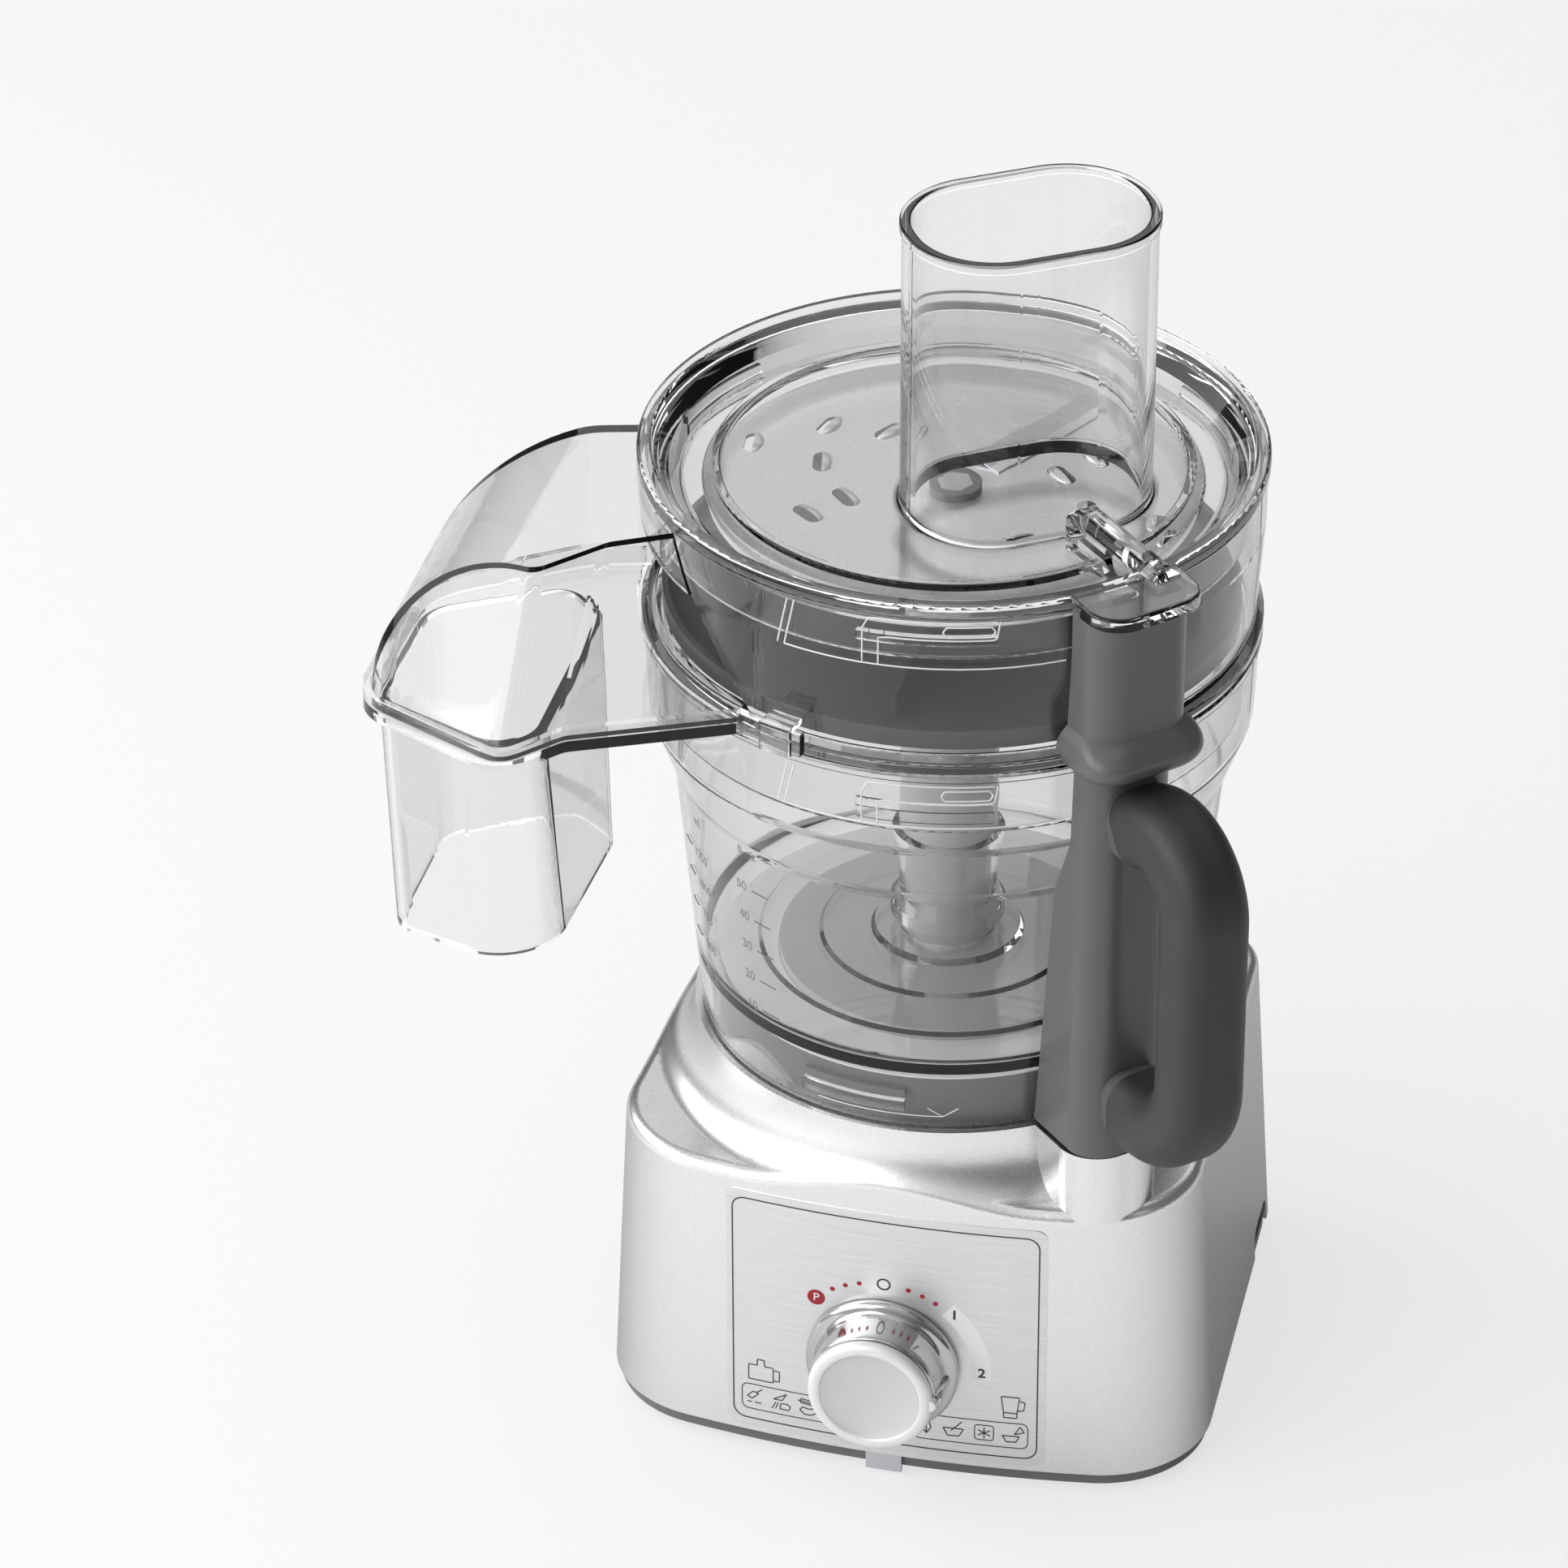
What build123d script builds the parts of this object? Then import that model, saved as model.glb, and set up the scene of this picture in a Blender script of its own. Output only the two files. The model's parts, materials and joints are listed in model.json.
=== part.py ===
from build123d import *
import math
import os

# Food processor with a serving chute. Millimetres, +Z up, the table is z = 0.
# Pieces are made about the drive axis (x = y = 0, front is -Y) and moved to the part frame when written.

# Clearances
RUN_FIT = 0.05            # radial, a shaft turning in its bush
LOOSE = 0.5               # between pieces that turn past each other
GUIDE = 0.35              # radial, a rod sliding in its bore
STACK_GAP = 1.0           # height between stacked handle columns
SHAFT_GAP = 0.4           # radial, drive shaft inside the bowl's centre tube
HEX_FIT = 0.15            # across each flat of a hexagon in its socket
HOOD_GAP = 0.3            # between the hood and the chute that clips under it

# Moulded edges
RIM_ROUND = 1.2
EDGE_ROUND = 0.8

# Base shell
BASE_HALF_W = 102.0       # at the foot, near the front
BASE_REAR_HALF_W = 95.5
BASE_FRONT = 86.0
BASE_BACK = 97.0
DECK_HALF_W = 97.0
DECK_REAR_HALF_W = 89.0
DECK_FRONT = 88.0
DECK_BACK = 95.0
FRONT_CROWN = 12.0        # how far the front face bows out over its width
FRONT_CORNER_R = 38.0
REAR_CORNER_R = 22.0
SHELL_FOOT_H = 8.0
DECK_H = 113.0
DECK_EDGE_R = 4.0
SHELL_WALL = 3.0
FLARE_R = 95.0            # where the round boss sweeps out into the deck
BOSS_R = 82.5
BOSS_RISE = 23.0          # boss above the deck
BOSS_H = DECK_H + BOSS_RISE
NOTCH_H = 10.0            # cut-out at the foot of each side, ahead of the rear leg
NOTCH_L = 24.0
NOTCH_Y = 62.0

# Tray, feet and screws
TRAY_FOOT_H = 3.5
TRAY_INSET = 1.6
FOOT_R = 9.0
FOOT_SINK = 1.5
FOOT_X = 76.0
FOOT_FRONT = 56.0
FOOT_BACK = 74.0
SCREW_R = 1.8
SCREW_HEAD_R = 3.4
SCREW_HEAD_H = 2.0
SCREW_L = 16.0
POST_R = 4.6
POST_H = 30.0
POST_SINK = 2.6           # how far a screw post stands off the side wall
POST_YS = [-24.0, 46.0]
VENT_COUNT = 7
VENT_PITCH = 8.0
VENT_W = 3.5
VENT_L = 40.0

# Control panel and knob
PANEL_W = 107.0
PANEL_FOOT = 10.0
PANEL_DROP = 7.0          # bare shell between the panel and the deck
PANEL_TOP = DECK_H - PANEL_DROP
PANEL_CORNER_R = 4.0
PANEL_SINK = 0.8
PANEL_PROUD = 0.3
TAB_W = 12.0
TAB_T = 1.6
TAB_FOOT = 1.5
TAB_TOP = 9.0
KNOB_H = 46.5
KNOB_SKIRT_R = 25.5
KNOB_WAIST_R = 21.5
KNOB_FACE_R = 20.0
KNOB_DISH_R = 16.5
KNOB_DISH_DEPTH = 1.6
KNOB_REACH = 20.0
KNOB_SKIRT_L = 16.0
KNOB_GAP = 0.8
KNOB_SPINDLE_R = 3.0
KNOB_SPINDLE_L = 22.0
POINTER_R = 2.2
SELECTOR_W = 32.0
SELECTOR_T = 14.0

# Motor and belt
MOTOR_Y = 50.0
STATOR_HALF_W = 34.0
STATOR_HALF_D = 30.0
STATOR_CORNER_R = 10.0
STATOR_BORE_R = 21.0
STATOR_FOOT = 42.0
STATOR_H = 30.0
AIR_GAP = 0.8
SLOT_COUNT = 12
SLOT_W = 2.4
SLOT_DEPTH = 5.0
MOTOR_SHAFT_R = 4.0
MOTOR_SHAFT_END = 5.0     # shaft past its upper bracket
BRACKET_T = 3.0
BRACKET_FOOT = 28.0
BRACKET_ROOM = 5.2        # between the commutator and the upper bracket
BRACKET_D = 18.0
PILLAR_R = 2.4
PILLAR_X = 31.2
COMMUTATOR_R = 11.0
COMMUTATOR_H = 8.0
FAN_R = 27.5
FAN_HUB_R = 9.0
FAN_H = 6.0
FAN_PLATE = 1.2
FAN_BLADES = 9
DRIVE_PULLEY_R = 38.0
MOTOR_PULLEY_R = 7.0
PULLEY_FOOT = 11.0
PULLEY_H = 9.0
PULLEY_WEB = 3.0
PULLEY_RIM = 4.0
PULLEY_GROOVES = 4
GROOVE_DEPTH = 1.0
BELT_GAP = 0.3
BELT_T = 1.6
CHASSIS_FOOT = 22.5
CHASSIS_T = 3.5
CHASSIS_HALF_W = 44.0
CHASSIS_FRONT = 32.0
CHASSIS_BACK = 84.0
CHASSIS_LEG_R = 4.5
CHASSIS_LEG_IN = 5.5
BOARD_X = -69.0
BOARD_Y = -34.0
BOARD_W = 38.0
BOARD_D = 30.0
BOARD_T = 1.6
BOARD_LIFT = 6.0
INLET_X = 55.0
INLET_H = 26.0
INLET_R = 8.0
INLET_BORE_R = 3.6
INLET_L = 9.0
INLET_PROUD = 1.5

# Spindle, bushes and bowl seat
SPINDLE_R = 5.0
BUSH_WALL = 3.0
BUSH_HOUSING = 3.0
LOWER_BUSH_L = 22.0
UPPER_BUSH_L = 26.0
DOG_ACROSS = 12.0         # hexagon across flats
DOG_H = 24.0
DOG_FLANGE_R = 9.5
SEAT_R = 74.8
SEAT_SPIGOT_R = 66.0
SEAT_SPIGOT_L = 5.0
SEAT_H = 20.0
SEAT_WALL = 3.0
SEAT_STEP_R = 55.0
SEAT_STEP = 3.0
SEAT_HUB_L = 34.0

# Bayonets: lugs pass under ledges
LUG_COUNT = 3
LUG_SPAN = 26.0
LUG_H = 4.0
LEDGE_H = 3.0
BAYONET_REACH = 2.0       # how far a lug or ledge stands off its wall
LUG_LIFT = 2.0            # a lug above the foot of its lid skirt
SEAT_LUG_RISE = 5.0
SEAT_LUG_H = BOSS_H + SEAT_LUG_RISE
SEAT_LUG_DEG = 20.0
BAND_LUG_DEG = -82.0
LID_LUG_DEG = -82.0

# Bowl
BOWL_FOOT_R = 80.0
BOWL_NECK_R = 89.0
BAND_FOOT_R = 97.3
BAND_TOP_R = 98.4
BOWL_RIM_R = 99.3
BOWL_DEPTH = 146.4        # rim above the boss
BAND_DEPTH = 30.4         # upright band under the rim
SHOULDER_H = 22.0         # slope between the neck and the band
BOWL_RIM_H = BOSS_H + BOWL_DEPTH
BAND_FOOT_H = BOWL_RIM_H - BAND_DEPTH
BOWL_NECK_H = BAND_FOOT_H - SHOULDER_H
NECK_BEND_R = SHOULDER_H / 2.2
BAND_BEND_R = SHOULDER_H / 2.75
FLOOR_BEND_R = 5.0
BOWL_RIM_T = 3.0
CLEAR_WALL = 2.6
FLOOR_GAP = 1.4           # under the bowl's floor
FLOOR_STEP = 1.2          # each moulded ring on the bowl's floor
FLOOR_RING_R = [62.0, 42.0]
PUCK_R = 25.0
PUCK_RISE = 2.0
BOWL_FLOOR_H = BOSS_H + SEAT_H + FLOOR_GAP + CLEAR_WALL
TUBE_BORE_R = 13.2
TUBE_WALL = 2.8
TUBE_L = 42.0
TUBE_TOP = BOWL_FLOOR_H + TUBE_L
TUBE_COLLAR_R = 18.3
TUBE_COLLAR_H = 16.0
TUBE_BULGE_R = 18.8
TUBE_BULGE_T = 7.0
TUBE_BULGE_H = BOWL_FLOOR_H + TUBE_L * 2 / 7

# Handle
HANDLE_DEG = -45.0
COLUMN_CORNER_R = 11.0
BOWL_COLUMN_HALF_W = 16.0
BOWL_COLUMN_PROUD = 10.2  # outer face past the bowl's rim
BOWL_COLUMN_R = BOWL_RIM_R + BOWL_COLUMN_PROUD
GRIP_W = 25.0
GRIP_CORNER_R = 9.0
GRIP_REACH = 38.0         # middle of the grip out from the column
GRIP_R = BOWL_COLUMN_R + GRIP_REACH
GRIP_DROP = 28.2          # root of the upper arm below the bowl's rim
GRIP_RISE_DEG = 30.0      # how steeply the upper arm leaves the column
GRIP_LIFT = 22.5          # lower arm above the boss
GRIP_ROOT_H = BOWL_RIM_H - GRIP_DROP
GRIP_FOOT = BOSS_H + GRIP_LIFT
FERRULE_W = 14.0          # across the inner end of the cone each arm stands on
FERRULE_PROUD = 5.0
GRIP_BEND_TOP = (GRIP_REACH - FERRULE_PROUD) * 7 / 11
GRIP_BEND_FOOT = (GRIP_REACH - FERRULE_PROUD) * 8 / 10
FERRULE_CORNER_R = 5.0
TOWER_HALF_W = 17.0
TOWER_R = BOWL_COLUMN_R - LOOSE
TOWER_CORNER_R = 14.0

# Interlock train in the handle columns
ROD_OUT = 3.4             # middle of the rods past the bowl's rim
ROD_AT_R = BOWL_RIM_R + ROD_OUT
ROD_R = 2.2
SPRING_WIRE_R = 0.5
SPRING_R = 3.3
SPRING_TURNS = 7
SPRING_RISE = 78.0
SPRING_FOOT = BOSS_H + SPRING_RISE
SPRING_L = 23.0
SPRING_POCKET_R = 4.4
ROD_TRAVEL = 5.0
ROD_COLLAR_T = 2.5
SENSE_W = 20.0
SENSE_D = 8.0
SENSE_H = 15.0
PLUNGER_TAIL = 2.0        # plunger below the underside of the deck

# Serving housing
HOUSING_DRAFT = 2.1       # the housing's wall leans out by this much
HOUSING_STEP = 0.2        # the housing's top inside the bowl's rim
HOUSING_TOP_R = BOWL_RIM_R - HOUSING_STEP
HOUSING_FOOT_R = HOUSING_TOP_R - HOUSING_DRAFT
HOUSING_DEPTH = 56.6      # housing above the bowl's rim
HOUSING_TOP_H = BOWL_RIM_H + HOUSING_DEPTH
HOUSING_FLANGE_T = 3.0
SKIRT_R = 93.4
SKIRT_L = 24.4            # skirt that hangs into the bowl
SKIRT_FOOT_H = BOWL_RIM_H - SKIRT_L
BAND_LUG_H = SKIRT_FOOT_H + 2 * LUG_LIFT
HOUSING_COLUMN_HALF_W = 18.0
HOUSING_COLUMN_PROUD = 14.7
HOUSING_COLUMN_R = BOWL_RIM_R + HOUSING_COLUMN_PROUD
COLUMN_FLARE = 6.5        # bulge round the foot of the column
COLUMN_FLARE_H = 13.0

# Hood over the chute, in plan at its open foot and at its roof
HOOD_LIFT = 5.1           # open foot of the hood above the bowl's rim
HOOD_FOOT_H = BOWL_RIM_H + HOOD_LIFT
HOOD_ROOF_H = HOUSING_TOP_H - STACK_GAP
HOOD_LEFT = 163.0
HOOD_ARCH_X = 115.0       # where the roof starts to fall away to the left
WINDOW_LIFT = 2.5
WINDOW_FOOT = HOOD_FOOT_H + WINDOW_LIFT
LID_SKIRT_L = 17.5        # lid skirt inside the housing
LID_SKIRT_FOOT = HOUSING_TOP_H - LID_SKIRT_L
LID_LUG_H = LID_SKIRT_FOOT + LUG_LIFT
WINDOW_TOP = LID_SKIRT_FOOT - 3 * LOOSE
HOOD_FOOT_PLAN = [(-10, -71.5), (-98, -113), (-113, -131), (-163, -107), (-163, -42), (-118, -9), (-60, 8)]
HOOD_ROOF_PLAN = [(-10, -30), (-92, -76), (-110, -97), (-163, -88), (-163, -40), (-116, -8), (-60, 7)]
HOOD_ROUNDS = [(1, 10.0), (2, 7.0), (3, 14.0), (4, 26.0), (5, 30.0)]

# Chute that clips under the hood
CHUTE_PLATE_T = 3.0
CHUTE_COLLAR = 2.6
CHUTE_RIM_H = 5.0
SPOUT_L = 83.5
CHUTE_FOOT_H = HOOD_FOOT_H - SPOUT_L
CHUTE_CLEAR = 1.2         # between the chute and the bowl rim
CHUTE_TOP_PLAN = [(-161, -104), (-105, -129), (-105, -36), (-120, -22), (-161, -46)]
CHUTE_FOOT_PLAN = [(-157, -106), (-104, -122), (-101, -40), (-119, -26), (-157, -48)]
CHUTE_TOP_ROUNDS = [(0, 11.0), (1, 15.0), (2, 9.0), (3, 9.0), (4, 16.0)]
CHUTE_FOOT_ROUNDS = [(0, 11.0), (1, 22.0), (2, 9.0), (3, 9.0), (4, 16.0)]
LATCH_ARM_T = 3.0
LATCH_ARM_MID = -113.0
LATCH_ARM_SPAN = 18.0
LATCH_MID = -108.5
LATCH_SPAN = 6.0
LATCH_T = 1.8

# Lid and feed tube
LID_R = 100.0
LID_FLANGE_T = 4.5
LID_TOP = HOUSING_TOP_H + LOOSE + LID_FLANGE_T
LID_RIM_IN = 95.5
LID_SKIRT_R = 93.8
LID_TROUGH_R = 86.0
LID_TROUGH_DEPTH = 11.5
LID_TROUGH_H = LID_TOP - LID_TROUGH_DEPTH
LID_PLATE_R = 76.5
LID_PLATE_RISE = 3.5
LID_PLATE_H = LID_TROUGH_H + LID_PLATE_RISE
LID_BEAD_H = 1.6
LID_BEAD_W = 3.0
LID_T = 2.5
FEED_L = 80.0
FEED_W = 57.0
FEED_CORNER_R = 27.0
FEED_WALL = 2.8
FEED_X = 26.0
FEED_Y = -12.0
FEED_DEG = 33.0
FEED_H = 91.0             # feed tube above the lid
FEED_TOP = LID_TOP + FEED_H
FEED_LIP = 0.8
FEED_LIP_H = 3.0
FEED_FOOT_R = 2.5         # sweep where the tube meets the lid
TONGUE_HALF_W = 19.5
TONGUE_PROUD = 5.0
TONGUE_R = HOUSING_COLUMN_R + TONGUE_PROUD
RIDGE_W = 11.0            # rounded ridge from the feed tube out over the tongue
RIDGE_SIDE = 11.5
RIDGE_FROM = 56.0
RIDGE_TO = 106.0
RIDGE_H = 2.5
RIDGE_ROUND = 4.5
CAM_DEPTH = 3.0
CAM_SPAN = 16.0

# Rotating tools
SHAFT_R = 16.0
TOOL_HEX_ACROSS = 11.0
SLING_R = 92.5
SLING_LIFT = 0.1          # plate above the housing's flange
SLING_FOOT = BOWL_RIM_H + LOOSE + HOUSING_FLANGE_T + CLEAR_WALL + SLING_LIFT
SLING_T = 2.4
SLING_RIM_H = 4.0
SLING_RIM_W = 2.0
SLING_HUB_R = 15.0
SLING_HUB_H = 14.0
SLING_HUB_DROP = 8.6
SHAFT_TOP = SLING_FOOT - SLING_HUB_DROP
SLING_FINS = 4
SLING_FIN_H = 8.0
SLING_FIN_T = 2.0
SLING_FIN_L = 66.0
DISC_R = 78.0
DISC_ROOM = 4.0           # under the lid's trough, for the disc and its blade
DISC_FOOT = LID_TROUGH_H - LID_T - DISC_ROOM
DISC_T = 1.2
DISC_EDGE_W = 2.0
DISC_EDGE_H = 1.0
DISC_HUB_R = 13.0
DISC_PILOT_R = 9.0
DISC_PILOT_H = 4.0
BLADE_L = 56.0
BLADE_W = 11.0
BLADE_RISE = 2.2
BLADE_T = 0.6
BLADE_SLOT = 7.0
BLADE_FROM = 17.0
BLADE_DEG = 60.0
HOLE_L = 12.0
HOLE_W = 6.0
HOLE_TURN = 105.0         # each hole's slant to its radius, degrees
HOLE_SPOTS = [(68.0, 172.0), (53.0, 151.0), (43.5, 176.0), (38.0, 135.0), (35.0, 208.0), (49.5, 216.0)]

# The part frame has its origin under the middle of the machine's box; the drive axis stands off it.
AXIS_X = 23.7
AXIS_Y = 16.0

pieces = {}


def outline(points, rounds=()):
    """A face inside straight edges, with chosen corners rounded."""
    face = make_face(Polyline(*points, close=True))
    for index, radius in rounds:
        corner = face.vertices().sort_by_distance(Vector(*points[index], 0))[0]
        face = fillet(corner, radius)
    return face


def turned(points, rounds=()):
    """A solid of revolution about the drive axis from (radius, height) points."""
    return revolve(Plane.XZ * outline(points, rounds), Axis.Z)


def ring(r_in, r_out, foot, top, x=0.0, y=0.0):
    disc = Circle(r_out)
    if r_in > 0:
        disc -= Circle(r_in)
    return Pos(x, y, foot) * extrude(disc, amount=top - foot)


def sector(r_in, r_out, foot, top, mid_deg, span_deg):
    start = mid_deg - span_deg / 2
    outer = CenterArc((0, 0), r_out, start, span_deg)
    inner = CenterArc((0, 0), r_in, start, span_deg)
    face = make_face([outer, Line(outer @ 1, inner @ 1), inner, Line(inner @ 0, outer @ 0)])
    return Pos(0, 0, foot) * extrude(face, amount=top - foot)


def lugs(r_in, r_out, foot, height, first_deg):
    """Bayonet lugs spaced evenly round the drive axis."""
    mids = [first_deg + k * 360 / LUG_COUNT for k in range(LUG_COUNT)]
    return [sector(r_in, r_out, foot, foot + height, mid, LUG_SPAN) for mid in mids]


def fused(first, others):
    for other in others:
        first = first + other
    return first


def slab(foot, top, reach=500):
    return Pos(0, 0, (foot + top) / 2) * Box(reach, reach, top - foot)


def hexagon(across, foot, top):
    return Pos(0, 0, foot) * extrude(RegularPolygon(across / 2, 6, major_radius=False), amount=top - foot)


def column_plan(r_in, r_out, half_w, corner_r):
    plan = outline([(r_in, -half_w), (r_out, -half_w), (r_out, half_w), (r_in, half_w)],
                   [(1, corner_r), (2, corner_r)])
    return Rot(0, 0, HANDLE_DEG) * plan


def column(r_in, r_out, half_w, foot, top, corner_r=COLUMN_CORNER_R):
    """A handle column: a bar with a rounded outer face, standing in the handle's direction."""
    return extrude(Pos(0, 0, foot) * column_plan(r_in, r_out, half_w, corner_r), amount=top - foot)


def rod_line(radius, foot, top):
    return Rot(0, 0, HANDLE_DEG) * Pos(ROD_AT_R, 0, foot) * extrude(Circle(radius), amount=top - foot)


def grooved_rim(radius, foot, height):
    """Half-section points of a belt rim, from its foot to its top, with shallow grooves."""
    pitch = height / (PULLEY_GROOVES + 1)
    points = [(radius, foot)]
    for k in range(PULLEY_GROOVES):
        middle = foot + pitch * (k + 1)
        points += [(radius, middle - pitch / 3), (radius - GROOVE_DEPTH, middle)]
        points += [(radius, middle + pitch / 3)]
    return points + [(radius, foot + height)]


# Base shell

def base_outline(half_w, rear_half_w, front, back, inset):
    corner_y = -front + FRONT_CROWN
    crown = ThreePointArc((-half_w, corner_y), (0, -front), (half_w, corner_y))
    rest = Polyline((half_w, corner_y), (rear_half_w, back), (-rear_half_w, back), (-half_w, corner_y))
    face = make_face([crown, rest])
    for x, y, radius in [(half_w, corner_y, FRONT_CORNER_R), (-half_w, corner_y, FRONT_CORNER_R),
                         (rear_half_w, back, REAR_CORNER_R), (-rear_half_w, back, REAR_CORNER_R)]:
        face = fillet(face.vertices().sort_by_distance(Vector(x, y, 0))[0], radius)
    return offset(face, amount=-inset) if inset else face


def lean(low, high, height):
    return low + (high - low) * (height - SHELL_FOOT_H) / (DECK_H - SHELL_FOOT_H)


def plan_at(height, inset=0.0):
    """The base in plan; its walls lean from the shell's foot to the deck and on."""
    return Pos(0, 0, height) * base_outline(
        lean(BASE_HALF_W, DECK_HALF_W, height), lean(BASE_REAR_HALF_W, DECK_REAR_HALF_W, height),
        lean(BASE_FRONT, DECK_FRONT, height), lean(BASE_BACK, DECK_BACK, height), inset)


def base_block(inset, top=DECK_H):
    return loft([plan_at(SHELL_FOOT_H, inset), plan_at(top, inset)], ruled=True)


def boss(inset):
    """The round boss, sweeping up from the deck to the bowl in a quarter ellipse."""
    curve = EllipticalCenterArc((FLARE_R, BOSS_H), FLARE_R - BOSS_R + inset, BOSS_H - DECK_H + inset,
                                start_angle=180, arc_size=90)
    low = DECK_H - 2 * SHELL_WALL
    rest = Polyline(curve @ 1, (FLARE_R, low), (0, low), (0, BOSS_H), curve @ 0)
    return revolve(Plane.XZ * make_face([curve, rest]), Axis.Z)


def base_form(inset):
    """Deck and boss inside the leaning walls, drawn in by an inset."""
    body = slab(0, DECK_H - inset) + boss(inset)
    return base_block(inset, BOSS_H) & body & slab(0, BOSS_H - inset)


def off_wall(edge, wall):
    """How far an edge strays, seen from above, from the outline of the deck."""
    points = [edge @ run for run in (0.05, 0.5, 0.95)]
    return max(min(line.distance_to(Vector(point.X, point.Y, DECK_H)) for line in wall) for point in points)


def deck_rim(solid):
    wall = plan_at(DECK_H).edges()
    high = [edge for edge in solid.edges() if DECK_H - LOOSE < edge.center().Z < BOSS_H - DECK_EDGE_R]
    return [edge for edge in high if off_wall(edge, wall) < LOOSE]


def side_wall_x(y):
    """Where the outside of the side wall stands at the shell's foot."""
    run = (y + BASE_FRONT - FRONT_CROWN) / (BASE_BACK + BASE_FRONT - FRONT_CROWN)
    return BASE_HALF_W + (BASE_REAR_HALF_W - BASE_HALF_W) * run


def front_wall_y(height):
    return -lean(BASE_FRONT, DECK_FRONT, height)


post_spots = [(side * (side_wall_x(y) - SHELL_WALL - POST_SINK), y) for side in (-1, 1) for y in POST_YS]
shell_inside = base_form(SHELL_WALL)
base_shell = base_form(0)
base_shell = fillet(deck_rim(base_shell), DECK_EDGE_R)
tower = column(0, TOWER_R, TOWER_HALF_W, DECK_H - SHELL_WALL, BOSS_H, TOWER_CORNER_R)
base_shell += tower - ring(0, BOSS_R, 0, BOSS_H)
base_shell = base_shell - shell_inside - ring(0, SEAT_SPIGOT_R, DECK_H, BOSS_H)
screw_posts = [ring(0, POST_R, SHELL_FOOT_H, POST_H, x, y) & shell_inside for x, y in post_spots]
base_shell = fused(base_shell, screw_posts)
for x, y in post_spots:
    base_shell -= ring(0, SCREW_R, SHELL_FOOT_H, SHELL_FOOT_H + SCREW_L, x, y)
base_shell -= rod_line(ROD_R + GUIDE, DECK_H - 2 * SHELL_WALL, BOSS_H)
notch = Pos(0, NOTCH_Y, SHELL_FOOT_H) * Box(3 * BASE_HALF_W, NOTCH_L, 2 * NOTCH_H)
base_shell -= fillet(notch.edges().filter_by(Axis.X).group_by(Axis.Z)[-1], NOTCH_H / 2)
inlet_line = Pos(INLET_X, BASE_BACK + INLET_PROUD, INLET_H) * Rot(90, 0, 0)
inlet_plug = inlet_line * extrude(Circle(INLET_R), amount=INLET_L)
base_shell -= inlet_plug

# Panel, let into the front face and following its crown
panel_face = RectangleRounded(PANEL_W, PANEL_TOP - PANEL_FOOT, PANEL_CORNER_R)
panel_window = extrude(panel_face, amount=BASE_FRONT)
panel_window = Pos(0, -BASE_FRONT / 2, (PANEL_FOOT + PANEL_TOP) / 2) * Rot(90, 0, 0) * panel_window
panel_bed = base_block(PANEL_SINK)
spindle_hole = extrude(Circle(KNOB_SPINDLE_R + GUIDE), amount=BASE_FRONT)
spindle_hole = Pos(0, -BASE_FRONT / 2, KNOB_H) * Rot(90, 0, 0) * spindle_hole
control_panel = ((base_block(-PANEL_PROUD) - panel_bed) & panel_window) - spindle_hole
base_shell = base_shell - (panel_window - panel_bed) - spindle_hole
pieces["base_shell"] = base_shell
pieces["control_panel"] = control_panel

# Tray under the shell, its feet, screws and the small tab at the front
tray_block = extrude(plan_at(SHELL_FOOT_H, TRAY_INSET), amount=TRAY_FOOT_H - SHELL_FOOT_H)
tray = tray_block
foot_spots = [(side * FOOT_X, y) for side in (-1, 1) for y in (-FOOT_FRONT, FOOT_BACK)]
for x, y in foot_spots:
    tray -= ring(0, FOOT_R, TRAY_FOOT_H, TRAY_FOOT_H + FOOT_SINK, x, y)
for x, y in post_spots:
    tray -= ring(0, SCREW_R, TRAY_FOOT_H, SHELL_FOOT_H, x, y)
    tray -= ring(0, SCREW_HEAD_R, TRAY_FOOT_H, TRAY_FOOT_H + SCREW_HEAD_H, x, y)
for k in range(VENT_COUNT):
    vent_y = MOTOR_Y + (k - (VENT_COUNT - 1) / 2) * VENT_PITCH
    tray -= Pos(0, vent_y, SHELL_FOOT_H) * Box(VENT_L, VENT_W, 4 * SHELL_FOOT_H)
board_spots = [(BOARD_X + sx * BOARD_W / 3, BOARD_Y + sy * BOARD_D / 3) for sx in (-1, 1) for sy in (-1, 1)]
board_foot = SHELL_FOOT_H + BOARD_LIFT
tray = fused(tray, [ring(0, PILLAR_R, SHELL_FOOT_H, board_foot, x, y) for x, y in board_spots])
pieces["base_tray"] = tray
pieces["feet"] = Compound([ring(0, FOOT_R, 0, TRAY_FOOT_H + FOOT_SINK, x, y) for x, y in foot_spots])
pieces["tray_screws"] = Compound([ring(0, SCREW_HEAD_R, TRAY_FOOT_H, TRAY_FOOT_H + SCREW_HEAD_H, x, y)
                                  + ring(0, SCREW_R, TRAY_FOOT_H, SHELL_FOOT_H + SCREW_L, x, y)
                                  for x, y in post_spots])
tab = Pos(0, front_wall_y(SHELL_FOOT_H) + TRAY_INSET - TAB_T / 2, (TAB_FOOT + SHELL_FOOT_H) / 2)
tab = tab * Box(TAB_W, TAB_T, SHELL_FOOT_H - TAB_FOOT)
pieces["front_tab"] = tab - tray_block

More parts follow.
